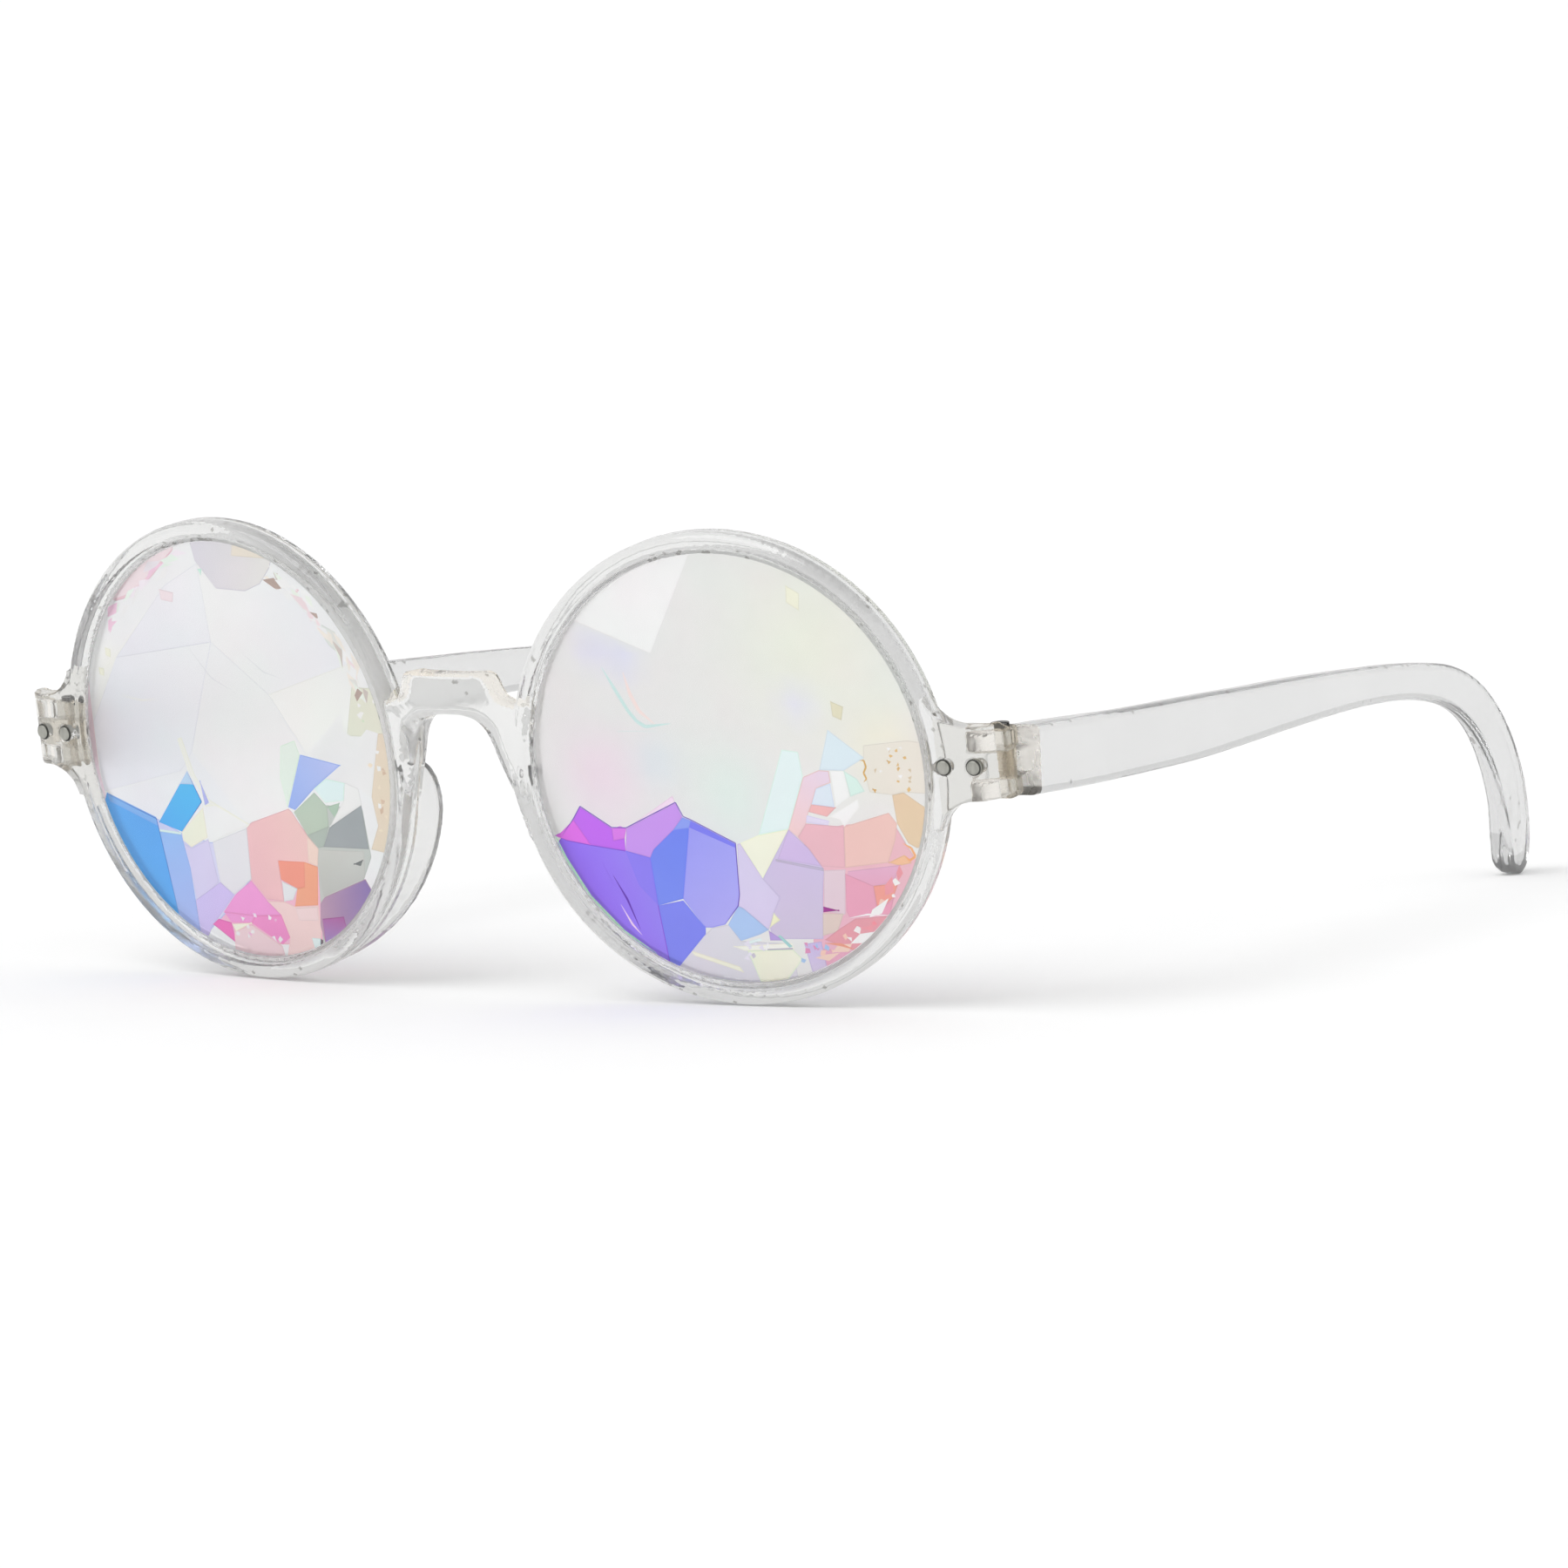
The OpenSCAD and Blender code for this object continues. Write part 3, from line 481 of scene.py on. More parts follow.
RIGHT_FACETS = [
    ("salmon bed", "1.5,-8.9 8.7,-6.8 12.5,-11.5 11.5,-18.5 10.7,-23.4 5,-24 -4,-24.6 -7.5,-22 -5,-17 "
     "0.5,-13", (240, 188, 196), (246, 190, 214), -90),
    ("slate bed", "9.5,-6.8 15,-5.8 20.5,-6 20.8,-12 14.5,-22.5 10.6,-23.5 11.4,-18 12.2,-12",
     (198, 204, 200)),
    ("blue bed", "-24,-7.2 -15,-9.5 -10.8,-11 -5.8,-11.8 0.9,-9.6 0.3,-16 -5.6,-21 -10.4,-24.5 -14,-21.6",
     (190, 200, 246), (222, 218, 240), 0),
    ("upper left", "-9,20 -3,23 -1.5,13.5 -19,10.5", (231, 232, 238), (236, 236, 238), 60),
    ("centre", "-1.5,13.5 7.5,7.5 12.5,0.5 8.5,-6.8 1,-9 -7,-0.5", (236, 237, 242), (240, 240, 240), -50),
    ("upper", "-3,23 10,22 21.5,12 7.5,7.5 -1.5,13.5", (239, 239, 238), (233, 234, 238), 20),
    ("left", "-19,10.5 -1.5,13.5 -7,-0.5 -9.3,-3 -24.5,-6.8 -24.8,2", (229, 230, 236), (236, 237, 242), 30),
    ("right", "7.5,7.5 21.5,12 24,4 12.7,0.5", (240, 241, 236), (234, 235, 234), 30),
    ("dome", "-3.3,23.3 0.1,20.1 5,20 7.6,21 9.4,23.1 10.5,27 -4.5,27", (216, 213, 222), (228, 225, 222), 0),
    ("dome beige", "3,24.2 9.2,24.1 10,27 3.5,27", (230, 222, 210)),
    ("mint chip", "-2.9,22.3 -2.2,22.4 -2.4,21.6", (205, 238, 225)),
    ("white patch", "-7.7,23.1 -8.8,20.9 -10.8,20.4", (250, 250, 250)),
    ("pink rim", "-7,24.9 -7.2,24.3 -11.2,21 -15.4,18.3 -18.2,17.5 -20,18 -12,27", (236, 222, 226)),
    ("pink line", "-7.1,24.6 -7.2,24.3 -11.2,20.9 -15.4,18.2 -18.2,17.5 -18.3,17.8 -15.5,18.6 -11.4,21.3",
     (236, 205, 214)),
    ("pink patch", "-10,19.5 -7.5,19.2 -7.7,18 -9.8,18.2", (240, 226, 230)),
    ("pink side", "-27,15 -24.4,14 -24.9,5 -24.9,-4 -24,-9 -27,-9", (250, 222, 232)),
    ("cream side", "-24,-9.6 -22.7,-9.7 -20.8,-13 -22,-14", (250, 246, 225)),
    ("yellow patch", "-21,11.6 -20,11.4 -20.1,10.4 -21,10.6", (242, 242, 222)),
    ("yellow patch low", "-22.6,9 -21.6,8.9 -21.7,8 -22.5,8.1", (242, 242, 222)),
    ("white spark", "9.2,23.3 9.8,23.2 9.6,22.6", (255, 255, 255)),
    ("pink spark", "13.2,20.8 13.9,20.5 13.5,20.1", (245, 205, 215)),
    ("pink spark right", "15.2,17.5 15.9,17.3 15.5,16.8", (245, 205, 215)),
    ("grey triangle", "15.9,17 19.5,15.5 21,12 18,14", (222, 226, 222)),
    ("speckled", "19.5,3 21,9 27,9 27,3", (226, 227, 212)),
    ("sand strip", "24.4,3.5 27,3.5 27,-12 21,-11 22.6,-8 22.2,-4.4", (230, 217, 198)),
    ("mint left", "8.5,1.2 10.9,2 11.5,0.2 8.4,-6.4 7.8,-2.7", (228, 247, 230)),
    ("cream stripe", "-9.3,1 -8.5,1.2 -7,-3.3 -4.8,-6.4 1.5,-9 1.3,-9.5 -4,-7 -6,-7.3 -6.2,-5.4 -8,-3",
     (249, 252, 232)),
    ("white cream", "-6.2,-7.3 -4,-7 1.3,-9.1 -5.5,-11.7 -6.3,-11.2", (255, 254, 247)),
    ("cream", "-10.8,-10.8 -6.3,-7.4 -6.3,-11.2 -9.5,-12.7 -10.8,-11.9", (248, 240, 220)),
    ("lilac", "-11,-12.2 -9.5,-12.8 -6.2,-11.4 -5.6,-16.8 -10,-20 -10.4,-15.4", (218, 212, 240)),
    ("lilac dark", "-5.3,-16.8 -3.2,-18.3 -5.8,-20.6 -8,-22.5 -9.2,-24 -10.6,-24 -10.4,-19.5",
     (208, 195, 240)),
    ("pale grey", "-5.5,-11.7 1.2,-9.4 0.9,-9.5 0.3,-16 -3.1,-18.2 -5.3,-16.8", (228, 227, 231)),
    ("salmon", "1.9,-8.7 8.5,-6.6 9,-7 10.9,-9.7 12.5,-11.4 11.9,-13.7 5.4,-13.3 5.4,-15.7 5.3,-18.5 "
     "2.5,-18.4 0.3,-16 0.9,-9.5", (236, 191, 196), (237, 202, 199), 20),
    ("peach", "10.9,-9.8 12.5,-11.4 11.9,-13.7 10.5,-13.2", (238, 215, 205)),
    ("pink foot", "2.4,-18.6 5.3,-18.5 7,-19 11,-18.6 10.7,-22 9,-27 4,-26 5.2,-23.1 4.4,-20.3",
     (248, 212, 210)),
    ("white pink", "7,-19.2 10.8,-18.8 10.5,-20.6 7.3,-20.8", (239, 216, 216)),
    ("orange left", "5.4,-13.3 9.8,-13.2 9.2,-16.4 7.9,-16.7 5.4,-15.7", (245, 155, 136)),
    ("orange right", "9.8,-13.2 11.9,-13.7 10.9,-18.6 7,-19 7.9,-16.7 9.2,-16.4", (246, 171, 141)),
    ("grey chip", "5.5,-15.9 7.9,-16.7 6.9,-18.2 5.3,-18.5", (225, 228, 231)),
    ("magenta top", "0.2,-16.2 -3,-18.2 -5.6,-20.6 -0.2,-20.7 4.4,-20.3 2.4,-18.6", (242, 160, 216)),
    ("magenta left", "-5.6,-20.6 -4.6,-21.9 -1,-21.7 -0.2,-20.7", (255, 164, 216)),
    ("magenta right", "-1,-21.7 3.7,-24.1 5.2,-23.1 4.4,-20.3 -0.2,-20.7", (255, 152, 206)),
    ("magenta light", "-0.5,-20.4 0,-20.4 0.1,-20.9 -0.4,-20.9", (255, 225, 245)),
    ("deep pink", "-6.8,-21.6 -8,-22.4 -4.3,-24.6 -4.6,-21.9", (235, 121, 191)),
    ("pale pink", "-4.4,-23 -1.1,-21.9 3.6,-24.3 4,-27 -5,-27", (250, 215, 219)),
    ("yellow spark", "-4.5,-22.1 -1,-21.7 -4.1,-23", (252, 248, 222)),
    ("green grey", "9.3,-7 13.1,-4.3 14.9,-6 14.7,-8.5 11,-9.8", (191, 206, 191)),
    ("green grey low", "11,-9.8 14.7,-8.5 13.4,-11.1 12.5,-11.3", (178, 190, 182)),
    ("green chip", "14.9,-6 17,-5.4 16,-7.5", (176, 200, 182)),
    ("slate", "14.8,-8.6 20.4,-5.5 20.6,-11 13.4,-11.1", (166, 173, 176)),
    ("grey", "12.6,-11.5 19.8,-11.3 19.3,-14.6 12,-17.5 11.9,-13.7", (205, 207, 203), (191, 196, 192), -90),
    ("grey dart", "17.8,-13 19.4,-12.4 18.9,-13.2", (120, 125, 125)),
    ("purple", "19.3,-14.8 12.2,-17.5 11.3,-18.4 10.7,-21.2 11,-23.5 14,-23 20.5,-17", (190, 160, 182),
     (142, 124, 184), 0),
    ("purple low", "11.2,-20.3 14.8,-19.8 15,-22 13,-23.2 11,-23.4", (176, 104, 166), (166, 142, 196), -90),
    ("light shard", "18.2,-2.8 20.3,-3.5 20.5,-5.5 14.9,-8.5 16.5,-6.5 17.7,-5.1", (235, 236, 235)),
    ("mint right", "13.2,-3.8 15.3,-2.5 18.2,-2.9 17.7,-5.1 14.7,-5.5", (222, 252, 238)),
    ("spikes", "12.7,0.5 18.9,5.6 19.1,3.5 21.1,2.5 22.7,3.9 24.4,3.5 22,-4.4 20.4,-3.5 18.2,-2.8 15.3,-2.5 "
     "17.9,-0.7", (251, 252, 251)),
    ("blue chip", "11.6,0.3 17.9,-0.7 13.2,-3.8 9.6,-6.7 8.5,-6.4", (155, 180, 255), (187, 197, 250), 20),
    ("gem", "8.9,-22.9 10.3,-22.9 9.9,-24.4 9.1,-24.4", (225, 250, 250)),
    ("gem side", "10.3,-22.9 10.7,-23.1 10.2,-24.4 9.9,-24.4", (120, 110, 120)),
    ("violet sliver", "-6.2,-4 -5.1,-6.7 -5.9,-7.1", (186, 190, 246)),
    ("big blue", "-24,-6.9 -15.2,-9.3 -15,-10.9 -11,-11.1 -10.3,-15.4 -10.6,-25 -14,-25 -27,-12",
     (92, 172, 255)),
    ("big blue top", "-24,-6.9 -15.2,-9.3 -15.1,-10.4 -23.6,-8", (135, 185, 255)),
    ("big blue right", "-15,-10.9 -11,-11.1 -10.3,-15.4 -10.6,-25 -13,-24 -14,-21.6", (152, 190, 255),
     (176, 186, 252), -80),
    ("mint sliver", "-15,-10.8 -11,-10.9 -11,-11.2 -15,-11.1", (225, 245, 240)),
    ("blue quad", "-8.3,-3 -6.4,-6.7 -10.8,-10.8 -14.8,-9.9", (84, 178, 255), (85, 190, 255), 60),
    ("blue tip", "-8.3,-3 -7.5,-4.6 -9.9,-4.7", (190, 215, 250)),
]

# The wide facets, whose edges barely show.
FAINT_FACETS = ("upper left", "centre", "upper", "left", "right")

# Veins and glints: a name, a path, its width in mm and its colour.

LEFT_VEINS = [
    ("cyan vein", "-15.2,12.4 -13.6,9.7 -12.1,7.2 -11,5.9 -9.9,5.3 -6.5,5.7", 0.45, (206, 230, 228)),
    ("cyan vein low", "-13.9,4.7 -8.5,4.8", 0.35, (214, 231, 230)),
    ("pink vein", "-12.3,11.8 -11.6,9.2 -10.6,7.2 -8.6,5.6", 0.5, (247, 226, 223)),
    ("pink vein left", "-20.9,2.1 -17.9,-2.5", 0.35, (248, 224, 227)),
    ("gold curl", "17.8,1.2 18.3,1.2 18.5,0.4 18.1,-0.3 18.4,-1 18,-1.4", 0.22, (215, 175, 105)),
    ("orange curl", "22,-8.8 23,-9.4 23.4,-10.4 22.6,-10.9 22.1,-10.3", 0.3, (240, 178, 128)),
    ("crack", "14,-17.8 16.4,-17.4 19,-17.5", 0.25, (249, 238, 240)),
    ("orange thread", "10.3,-20.9 12.4,-21.1 14,-21.7", 0.4, (233, 164, 142)),
    ("violet dark streak", "-16.9,-12.9 -15.4,-15.8 -14.2,-19.5", 0.3, (104, 54, 186)),
    ("violet faint streak", "-18.2,-11.3 -17,-14", 0.2, (128, 78, 215)),
    ("violet white streak", "-16.4,-16.5 -15.2,-18.9 -14.1,-20.2", 0.3, (238, 212, 250)),
    ("outline", "-23.5,-8.3 -21.5,-6.1 -20.3,-4.5 -16.2,-7 -14.2,-7 -7,-3.8 -6.2,-5.5 -5.2,-5.9 0.4,-8.7 "
     "0,-15 -0.4,-16.4 -2.5,-18.7", 0.13, (120, 92, 190)),
    ("mint rim", "-24.4,-8 -23.2,-11 -20.5,-15.6 -16.5,-19.8 -12.4,-22.5", 0.35, (200, 246, 214)),
]

RIGHT_VEINS = [
    ("scratch", "-6.5,13.5 -2,9 1.5,7.6", 0.12, (222, 223, 226)),
    ("scratch low", "-19,5.8 -15,5.4 -11.8,5.8", 0.15, (243, 240, 228)),
    ("scratch right", "3.5,12.5 7,10.2 9.8,9.6", 0.12, (222, 223, 226)),
    ("white spike", "12.6,0.4 15,2 18.9,5.7", 0.3, (255, 255, 255)),
    ("outline", "-24,-7.1 -15.2,-9.5 -15,-10.9 -14.5,-15.5 -14,-21.6", 0.12, (70, 120, 200)),
    ("outline tip", "-8.3,-2.9 -6.4,-6.7 -10.8,-10.8", 0.12, (80, 120, 190)),
]

# The ground: the widest facet's colour, and soft spots of other tones, each a colour, its place and
# its reach in mm.

LEFT_GROUND = ((232, 232, 231), [
    ((234, 235, 224), 13, 15, 10),
    ((236, 222, 232), -17, -1, 6),
    ((225, 224, 240), -16.5, 14.6, 2.2),
    ((224, 223, 240), -12.5, 13.6, 2.4),
    ((229, 228, 238), 10.5, 8, 2.2),
    ((224, 229, 234), -9, 1, 3),
    ((226, 237, 232), 1, -3, 5),
    ((238, 234, 220), 21, 3, 5),
])
RIGHT_GROUND = ((236, 237, 240), [
    ((233, 234, 244), -16, -2, 9),
    ((236, 236, 232), 16, 8, 8),
    ((242, 240, 232), -20, 9, 3),
])


def along_arc(radius, width, start, end):
    """A way to place chips: along an arc about the lens's middle, angles in degrees."""
    def place(rng, share):
        angle = math.radians(start + (end - start) * share)
        reach = radius + rng.uniform(-width, width)
        return reach * math.cos(angle), reach * math.sin(angle)
    return place


def in_patch(u, v, half_u, half_v):
    """A way to place chips: anywhere in an oblong about a point."""
    def place(rng, share):
        return u + rng.uniform(-half_u, half_u), v + rng.uniform(-half_v, half_v)
    return place


# Chips: how many, where, their least and greatest reach in mm, and their colours.

LEFT_CHIPS = [
    (16, in_patch(21.5, 0.2, 2.6, 2.6), (0.15, 0.4), ((224, 190, 130), (252, 250, 244), (214, 198, 170))),
    (9, in_patch(2.5, -22.5, 3.5, 1.6), (0.2, 0.6), ((255, 255, 244), (232, 228, 240), (205, 200, 214))),
    (10, along_arc(24.6, 0.7, -68, -30), (0.2, 0.6), ((255, 240, 240), (240, 150, 160), (250, 205, 190))),
    (7, in_patch(9, -22.3, 2, 1.4), (0.2, 0.5), ((246, 232, 250), (222, 150, 190), (170, 200, 235))),
]
RIGHT_CHIPS = [
    (12, in_patch(23.6, -4.5, 1.1, 6), (0.2, 0.5), ((250, 226, 206), (255, 250, 244), (214, 190, 168))),
    (8, in_patch(22.5, 6, 1.8, 2.5), (0.2, 0.5), ((206, 222, 196), (244, 246, 236))),
    (10, in_patch(0, -22.2, 4, 1.4), (0.2, 0.5), ((255, 236, 246), (250, 190, 220), (255, 255, 250))),
]

# Splinters along the lens's edge: how many, at which radius, from which angle to which, their colours.

LEFT_SHARDS = [
    (7, 24.9, -70, -28, ((255, 246, 246), (244, 176, 184), (250, 214, 200), (236, 160, 170))),
]
RIGHT_SHARDS = [
    (36, 23.9, 68, 18, ((255, 255, 255), (253, 251, 248), (246, 222, 226), (222, 222, 218), (232, 242, 230),
                        (188, 168, 160), (240, 232, 224), (205, 196, 190))),
    (16, 24.2, 104, 146, ((255, 255, 255), (240, 206, 224), (228, 238, 230), (250, 232, 240))),
]


# How far facets, their shaded edges and chips lean from the crown, as a slope.
FACET_TILT = 0.1
EDGE_TILT = 0.25
CHIP_TILT = 0.2
# A facet edge's width in mm and the painted shade on it, as a share of the facet's colour.
EDGE = (0.11, 0.955)
FAINT_EDGE = (0.07, 0.975)
# The share of its width that a vein ends with.
VEIN_TIP = 0.15
# Splinters: how far they stray from their radius, half their length in radians, their thickness
# and their slant, in mm.
SHARD_STRAY = 0.9
SHARD_HALF_ANGLE = (0.03, 0.08)
SHARD_THICKNESS = (0.3, 0.95)
SHARD_SLANT = 0.5
# Once round, near enough for a chip.
FULL_TURN = 6.28
OPENING_STEPS = 128
# Spacing of the points that let a soft spot show on the ground, in mm, and how their rows lean.
GROUND_GRID = 2
GRID_LEAN = 0.03


def corners_in_order(points):
    """The corners of a facet, in order against the clock."""
    area = sum(a[0] * b[1] - b[0] * a[1] for a, b in zip(points, points[1:] + points[:1]))
    return points if area > 0 else points[::-1]


def path_points(text):
    """The points of a path written as u,v pairs."""
    return [tuple(float(n) for n in pair.split(",")) for pair in text.split()]


def edge_strips(points, width):
    """A thin quad inside each side of a facet: the arris between two facets, which is painted darker as
    shade.
    """
    strips = []
    for a, b in zip(points, points[1:] + points[:1]):
        side = Vector(b) - Vector(a)
        if side.length < 3 * width:
            continue
        inward = Vector((-side.y, side.x)).normalized() * width
        strips.append(([a, b, tuple(Vector(b) + inward), tuple(Vector(a) + inward)], -inward.normalized()))
    return strips


def vein_quads(points, width):
    """A path as quads, with its ends drawn nearly to points."""
    quads = []
    for i, (a, b) in enumerate(zip(points, points[1:])):
        a, b = Vector(a), Vector(b)
        left = Vector((a.y - b.y, b.x - a.x)).normalized() * width / 2
        first = left * (VEIN_TIP if i == 0 else 1)
        last = left * (VEIN_TIP if i == len(points) - 2 else 1)
        quads.append([tuple(a - first), tuple(b - last), tuple(b + last), tuple(a + first)])
    return quads


def arc_shards(rng, count, radius, start, end, colours):
    """Long splinters that follow the lens's edge, angles in degrees."""
    shards = []
    for i in range(count):
        angle = math.radians(start + (end - start) * (i + rng.random()) / count)
        reach = radius + rng.uniform(-SHARD_STRAY, SHARD_STRAY)
        half = rng.uniform(*SHARD_HALF_ANGLE)
        thick = rng.uniform(*SHARD_THICKNESS)
        slant = rng.uniform(-SHARD_SLANT, SHARD_SLANT)
        points = []
        for turn, rise in ((-half, -slant), (half * rng.uniform(-0.4, 0.4), thick), (half, slant),
                           (half * rng.uniform(-0.6, 0.6), -thick * rng.random())):
            points.append(((reach + rise) * math.cos(angle + turn), (reach + rise) * math.sin(angle + turn)))
        shards.append((corners_in_order(points), rng.choice(colours)))
    return shards


def scattered(rng, count, place, size, colours):
    """Small chips of random shape: place(rng, share) gives where each one lies."""
    chips = []
    for i in range(count):
        u, v = place(rng, (i + rng.random()) / count)
        sides = rng.choice((3, 4))
        start = rng.uniform(0, FULL_TURN)
        points = []
        for j in range(sides):
            angle = start + FULL_TURN * (j + rng.uniform(-0.2, 0.2)) / sides
            reach = rng.uniform(*size)
            points.append((u + reach * math.cos(angle), v + reach * math.sin(angle)))
        chips.append((points, rng.choice(colours)))
    return chips


def crown_depth(u, v):
    """How far the crown's surface stands in front of the rim's front plane, in mm."""
    return -CROWN_SET_BACK - (u * u + v * v) / (2 * DOME_R)


def slope(rng, reach):
    return Vector((rng.uniform(-1, 1), rng.uniform(-1, 1))) * reach


def lens_shapes(rng, facets, veins, chips, shards, ground):
    """Every shape on the crown, the lowest first: corners, colour, colour it runs to, way, slope."""
    level = Vector((0, 0))
    across = Vector((1, 0))
    ring = []
    for i in range(OPENING_STEPS):
        angle = 2 * math.pi * i / OPENING_STEPS
        ring.append((CROWN_R * math.cos(angle), CROWN_R * math.sin(angle)))
    shapes = [(ring, ground[0], ground[0], across, level)]
    for name, text, first, *rest in facets:
        points = corners_in_order(path_points(text))
        second, way = rest if rest else (first, 0)
        angle = math.radians(way)
        run = Vector((math.cos(angle), math.sin(angle)))
        tilt = slope(rng, FACET_TILT)
        shapes.append((points, first, second, run, tilt))
        width, shade = FAINT_EDGE if name in FAINT_FACETS else EDGE
        # Each facet's edges are strips painted darker: painted shade along the arris.
        shaded_edge = tuple(c * shade for c in first)
        for strip, outward in edge_strips(points, width):
            shapes.append((strip, shaded_edge, shaded_edge, run, tilt + outward * EDGE_TILT))
    for count, place, size, colours in chips:
        for points, colour in scattered(rng, count, place, size, colours):
            shapes.append((points, colour, colour, across, slope(rng, CHIP_TILT)))
    for count, radius, start, end, colours in shards:
        for points, colour in arc_shards(rng, count, radius, start, end, colours):
            shapes.append((points, colour, colour, across, slope(rng, CHIP_TILT)))
    for _, text, width, colour in veins:
        for quad in vein_quads(path_points(text), width):
            shapes.append((quad, colour, colour, across, level))
    return shapes


def crown_plan(shapes):
    """The crown cut along every shape's outline: its points, its faces, and the shapes on each face."""
    flat = []
    outlines = []
    for points, *_ in shapes:
        outlines.append(list(range(len(flat), len(flat) + len(points))))
        flat.extend(Vector(p) for p in points)
    reach = int(CROWN_R / GROUND_GRID)
    for i in range(-reach, reach + 1):
        for j in range(-reach, reach + 1):
            if math.hypot(i, j) * GROUND_GRID < CROWN_R - 1:
                flat.append(Vector((i * GROUND_GRID + GRID_LEAN * j, j * GROUND_GRID)))
    verts, _, faces, _, _, sources = delaunay_2d_cdt(flat, [], outlines, 1, 1e-4)
    return verts, [(face, source) for face, source in zip(faces, sources) if 0 in source]


def film_colour(shapes, index, spots, gain, u, v):
    """The film's colour at a point of one shape. It is squared, as light passes it twice."""
    points, first, second, run, _ = shapes[index]
    spans = [run.dot(Vector(p)) for p in points]
    low, high = min(spans), max(spans)
    share = min(1, max(0, (run.dot(Vector((u, v))) - low) / max(1e-6, high - low)))
    colour = [p + (q - p) * share for p, q in zip(linear(first), linear(second))]
    if index == 0:
        for tone, at_u, at_v, width in spots:
            share = math.exp(-((u - at_u) ** 2 + (v - at_v) ** 2) / width ** 2)
            colour = [p + (q - p) * share for p, q in zip(colour, linear(tone))]
    return (*(min(1, c * gain) ** 2 for c in colour), 1)


def open_edge(bm):
    """The vertices along a mesh's open edge, in order."""
    rim = [e for e in bm.edges if len(e.link_faces) == 1]
    edge = rim[0]
    start = edge.verts[0]
    found = []
    vert = start
    while True:
        found.append(vert)
        vert = edge.other_vert(vert)
        if vert == start:
            return found
        edge = next(e for e in vert.link_edges if e in rim and e != edge)


def cut_lens(name, side, facets, veins, chips, shards, ground, gain, node, front_mat, back_mat, seed):
    """A lens whose crown is the facets laid over each other and trimmed to the opening."""
    shapes = lens_shapes(random.Random(seed), facets, veins, chips, shards, ground)
    verts, faces = crown_plan(shapes)
    origin, across, up, out = lens_axes(side)

    def place(u, v, depth):
        return origin + (across * u + up * v + out * depth) * MM

    bm = bmesh.new()
    film = bm.loops.layers.float_color.new("film")
    top = [bm.verts.new(place(p.x, p.y, crown_depth(p.x, p.y))) for p in verts]
    aims = {}
    for face, source in faces:
        made = bm.faces.new([top[i] for i in face])
        index = max(source)
        tilt = shapes[index][4]
        aims[made] = (out + across * tilt.x + up * tilt.y).normalized()
        for loop, i in zip(made.loops, face):
            loop[film] = film_colour(shapes, index, ground[1], gain, verts[i].x, verts[i].y)

    crown_rim = open_edge(bm)
    previous = crown_rim
    for depth in (crown_depth(CROWN_R, 0) - FLANGE_STEP, -FLANGE_BACK):
        fresh = []
        for v in crown_rim:
            offset = (v.co - origin) / MM
            u, w = offset.dot(across), offset.dot(up)
            grow = FLANGE_R / math.hypot(u, w)
            fresh.append(bm.verts.new(place(u * grow, w * grow, depth)))
        for i, a in enumerate(previous):
            b = previous[(i + 1) % len(previous)]
            bm.faces.new((a, b, fresh[(i + 1) % len(fresh)], fresh[i]))
        previous = fresh
    bm.faces.new(previous)
    bmesh.ops.recalc_face_normals(bm, faces=bm.faces)
    bm.faces.index_update()
    bm.faces.ensure_lookup_table()

    normals = []
    for face in bm.faces:
        face.smooth = True
        if face not in aims:
            face.material_index = 1
            for loop in face.loops:
                loop[film] = (1, 1, 1, 1)
        normals.extend([tuple(aims.get(face, face.normal))] * len(face.loops))
    mesh = bpy.data.meshes.new(name)
    bm.to_mesh(mesh)
    bm.free()
    mesh.normals_split_custom_set(normals)
    mesh.materials.append(front_mat)
    mesh.materials.append(back_mat)
    obj = new_object(name, mesh)
    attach(obj, "front")
    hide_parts(node)
    return obj


# Camera, light and floor. The camera is the one that was fitted to the photograph: where it
# stands in m, how far round, up and tipped it is in degrees, and its lens in mm.

CAMERA_AT = (0.72906, -1.03502, 0.15571)
CAMERA_TURN = (35.3464, 6.217, -2.0742)
CAMERA_LENS = 234.4

SUN_SIZE = 45
SUN_TURN = (32, -14, 0)
# The heights of a view direction between which the ceiling sets in.
CEILING_FROM = (0.6, 0.85)

FLOOR_HALF = 30
FLOOR_DROP = 0.05 * MM
FLOOR_TONES = ((0.955, 0.955, 0.955), (0.965, 0.965, 0.965))


def set_camera():
    azimuth, elevation, roll = (math.radians(a) for a in CAMERA_TURN)
    back = Vector((math.sin(azimuth) * math.cos(elevation), -math.cos(azimuth) * math.cos(elevation),
                   math.sin(elevation)))
    right = Vector((math.cos(azimuth), math.sin(azimuth), 0))
    up = back.cross(right)
    c, s = math.cos(roll), math.sin(roll)
    right, up = c * right + s * up, -s * right + c * up
    data = bpy.data.cameras.new("camera")
    data.lens = CAMERA_LENS
    data.sensor_width = 36
    data.sensor_fit = "HORIZONTAL"
    data.clip_end = 200
    camera = new_object("camera", data)
    axes = Matrix((right, up, back)).transposed().to_4x4()
    camera.matrix_world = Matrix.Translation(CAMERA_AT) @ axes
    bpy.context.scene.camera = camera


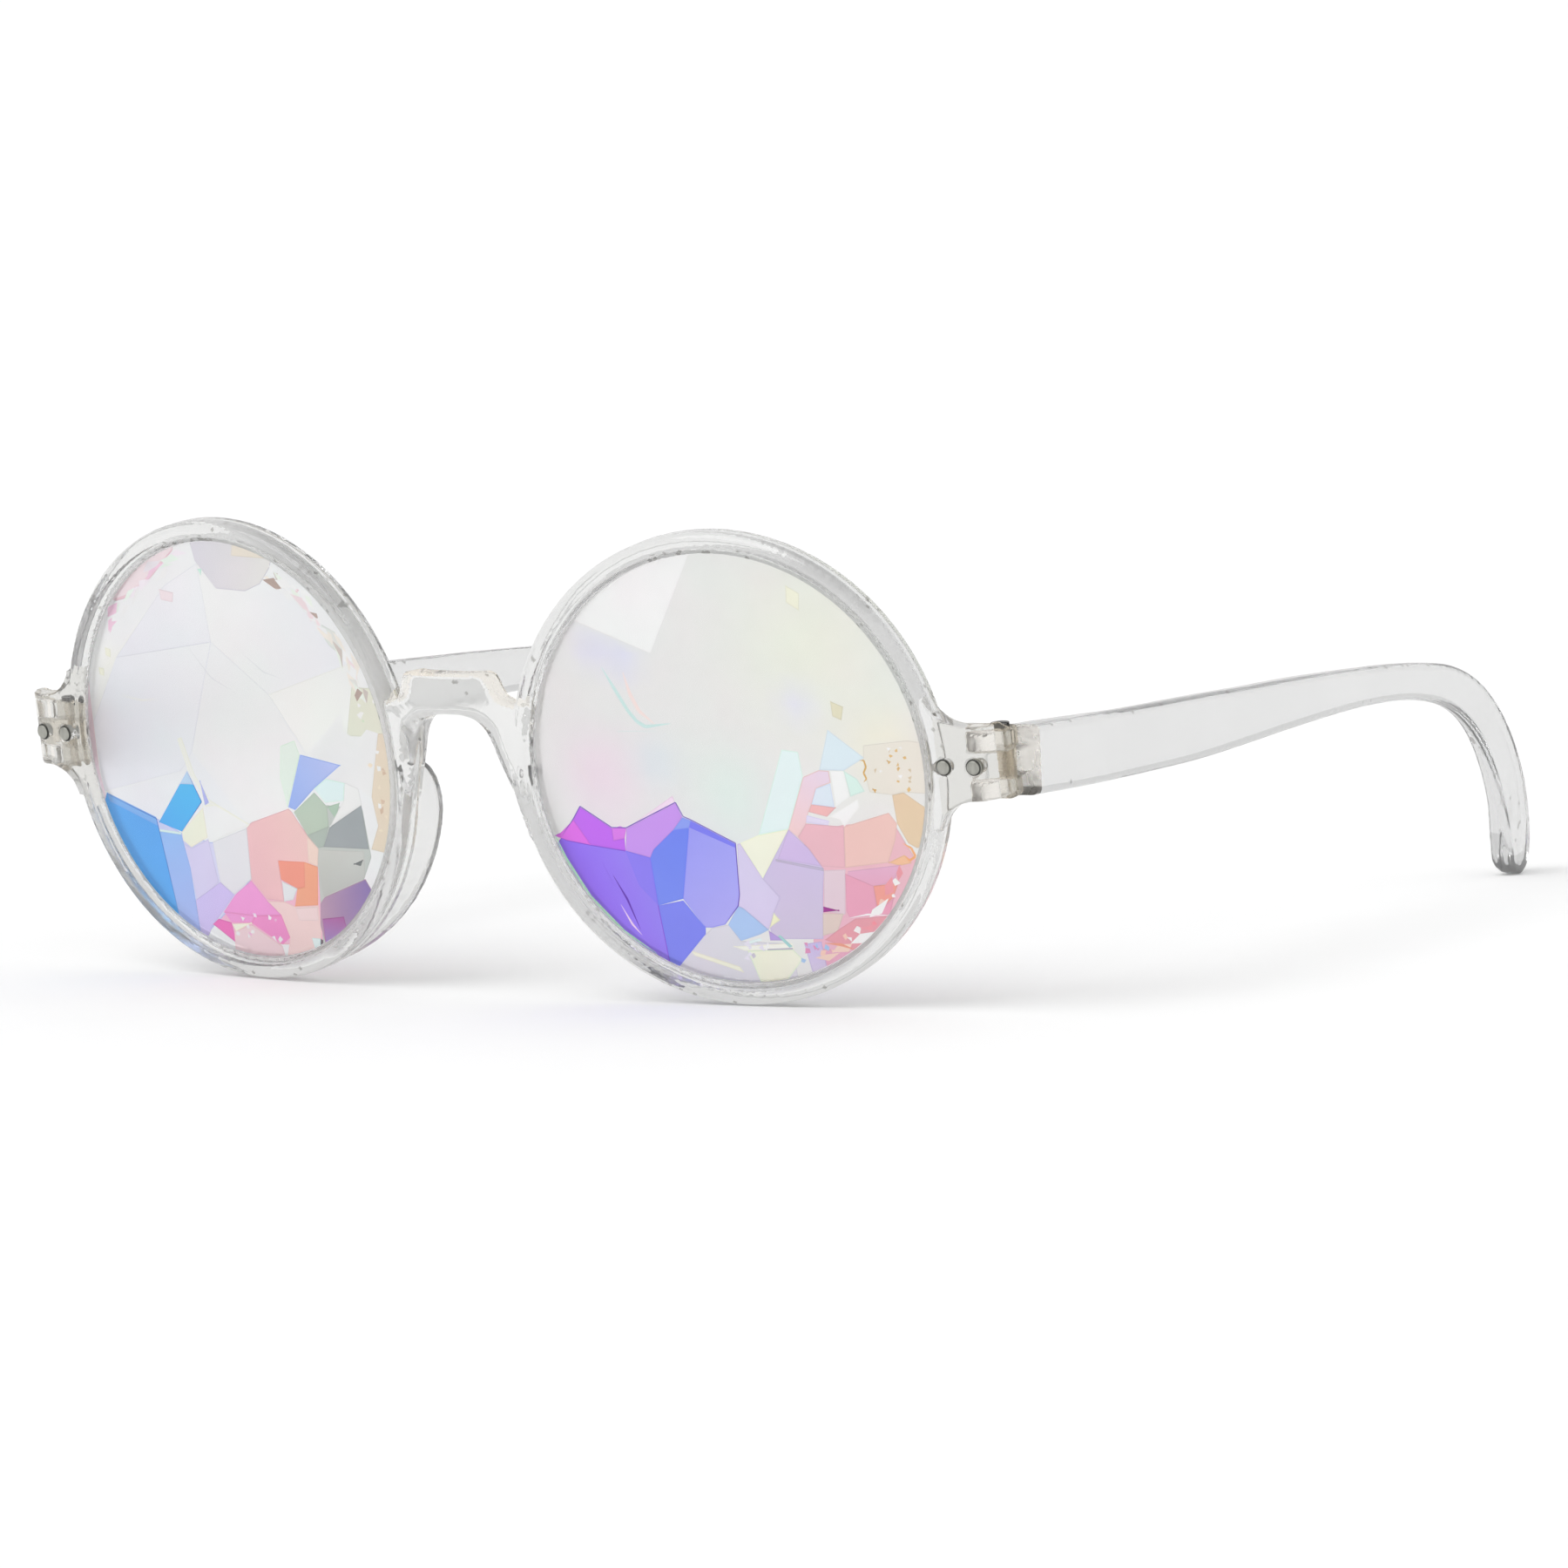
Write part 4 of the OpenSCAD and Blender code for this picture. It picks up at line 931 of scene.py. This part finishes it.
def set_world(ambient, ceiling):
    """White for what is seen, also through and in the plastic, under the studio's darker ceiling."""
    world = bpy.data.worlds.new("studio")
    bpy.context.scene.world = world
    world.use_nodes = True
    tree = world.node_tree
    tree.nodes.clear()
    out = tree.nodes.new("ShaderNodeOutputWorld")
    shader = tree.nodes.new("ShaderNodeBackground")
    tree.links.new(shader.outputs[0], out.inputs["Surface"])
    path = tree.nodes.new("ShaderNodeLightPath")
    aim = tree.nodes.new("ShaderNodeTexCoord")
    height = tree.nodes.new("ShaderNodeSeparateXYZ")
    tree.links.new(aim.outputs["Generated"], height.inputs[0])
    overhead = spread(tree, height.outputs["Z"], 1, ceiling, *CEILING_FROM)
    through = tree.nodes.new("ShaderNodeMath")
    through.operation = "MAXIMUM"
    tree.links.new(path.outputs["Is Glossy Ray"], through.inputs[0])
    tree.links.new(path.outputs["Is Transmission Ray"], through.inputs[1])
    unseen = mix_values(tree, through.outputs[0], ambient, overhead)
    strength = mix_values(tree, path.outputs["Is Camera Ray"], unseen, 1)
    tree.links.new(strength, shader.inputs["Strength"])


def set_light(level):
    """One wide soft lamp from above and in front."""
    data = bpy.data.lights.new("softbox", "SUN")
    data.energy = level
    data.angle = math.radians(SUN_SIZE)
    lamp = new_object("softbox", data)
    lamp.rotation_euler = [math.radians(a) for a in SUN_TURN]


def set_floor():
    mat, tree, shader = new_material("floor_paper")
    shader.inputs["Roughness"].default_value = 0.9
    shader.inputs["Specular IOR Level"].default_value = 0
    speck = spread(tree, add_noise(tree, 40, 3), 0, 1)
    tree.links.new(mix_colours(tree, speck, *FLOOR_TONES), shader.inputs["Base Color"])
    mesh = bpy.data.meshes.new("floor")
    bm = bmesh.new()
    bmesh.ops.create_grid(bm, x_segments=8, y_segments=8, size=FLOOR_HALF)
    bmesh.ops.translate(bm, verts=bm.verts, vec=(0, 0, -FLOOR_DROP))
    bm.to_mesh(mesh)
    bm.free()
    mesh.materials.append(mat)
    floor = new_object("floor", mesh)


def give_material(node, material):
    """Dresses a CAD solid that is shown as it is."""
    for slot in frame["nodes"][node].material_slots:
        slot.material = material


# The whole thing

set_camera()
set_world(ambient=1, ceiling=0.65)
set_light(level=1.05)
set_floor()

plastic = clear_plastic("clear_front", (0.84, 0.842, 0.835), 0.91, 1.46, 0.03)
temple_plastic = clear_plastic("clear_temple", (0.785, 0.787, 0.785), 0.895, 1.46, 0.03)
plate_plastic = clear_plastic("plate_plastic", (0.65, 0.64, 0.6), 0.91, 1.12, 0.08)
hinge_plastic = clear_plastic("hinge_plastic", (0.85, 0.8, 0.72), 0.925, 1.05, 0.12)
crystal_front = cut_crystal("crystal_facets", 0.03, 0.92)
crystal_back = cut_crystal("crystal_back", 0.5, 0.95)
rivet_steel = worked_steel("rivet_steel", (0.46, 0.46, 0.42), (0.33, 0.33, 0.3), 0.3)
# The seat round each rivet's head, painted dark as shadow.
rivet_shadow = worked_steel("rivet_shadow", (0.1, 0.1, 0.09), (0.05, 0.05, 0.05), 0.4)
screw_steel = screw_with_painted_dark_head("screw_steel")

front = moulded_copy("frame_front", "front_moulding", "front", plastic)
line_hinge(front, ((plate_plastic, behind_plate), (hinge_plastic, at_knuckles), (hinge_plastic, at_bridge)))
for side, sign in (("left", 1), ("right", -1)):
    temple = moulded_copy("temple_" + side, "temple_moulding_" + side, "temple_" + side, temple_plastic)
    line_hinge(temple, ((hinge_plastic, round_tongue),))
    give_material("hinge_screw_" + side, screw_steel)
    for place in ("_inner", "_outer"):
        turned_rivet("rivet_head_" + side + place, "rivet_" + side + place, sign, rivet_steel, rivet_shadow)

lens = cut_lens("lens_cut_left", 1, LEFT_FACETS, LEFT_VEINS, LEFT_CHIPS, LEFT_SHARDS, LEFT_GROUND,
                1.12, "lens_left", crystal_front, crystal_back, seed=11)
lens = cut_lens("lens_cut_right", -1, RIGHT_FACETS, RIGHT_VEINS, RIGHT_CHIPS, RIGHT_SHARDS, RIGHT_GROUND,
                1.17, "lens_right", crystal_front, crystal_back, seed=12)

bpy.context.scene.view_settings.view_transform = "Standard"
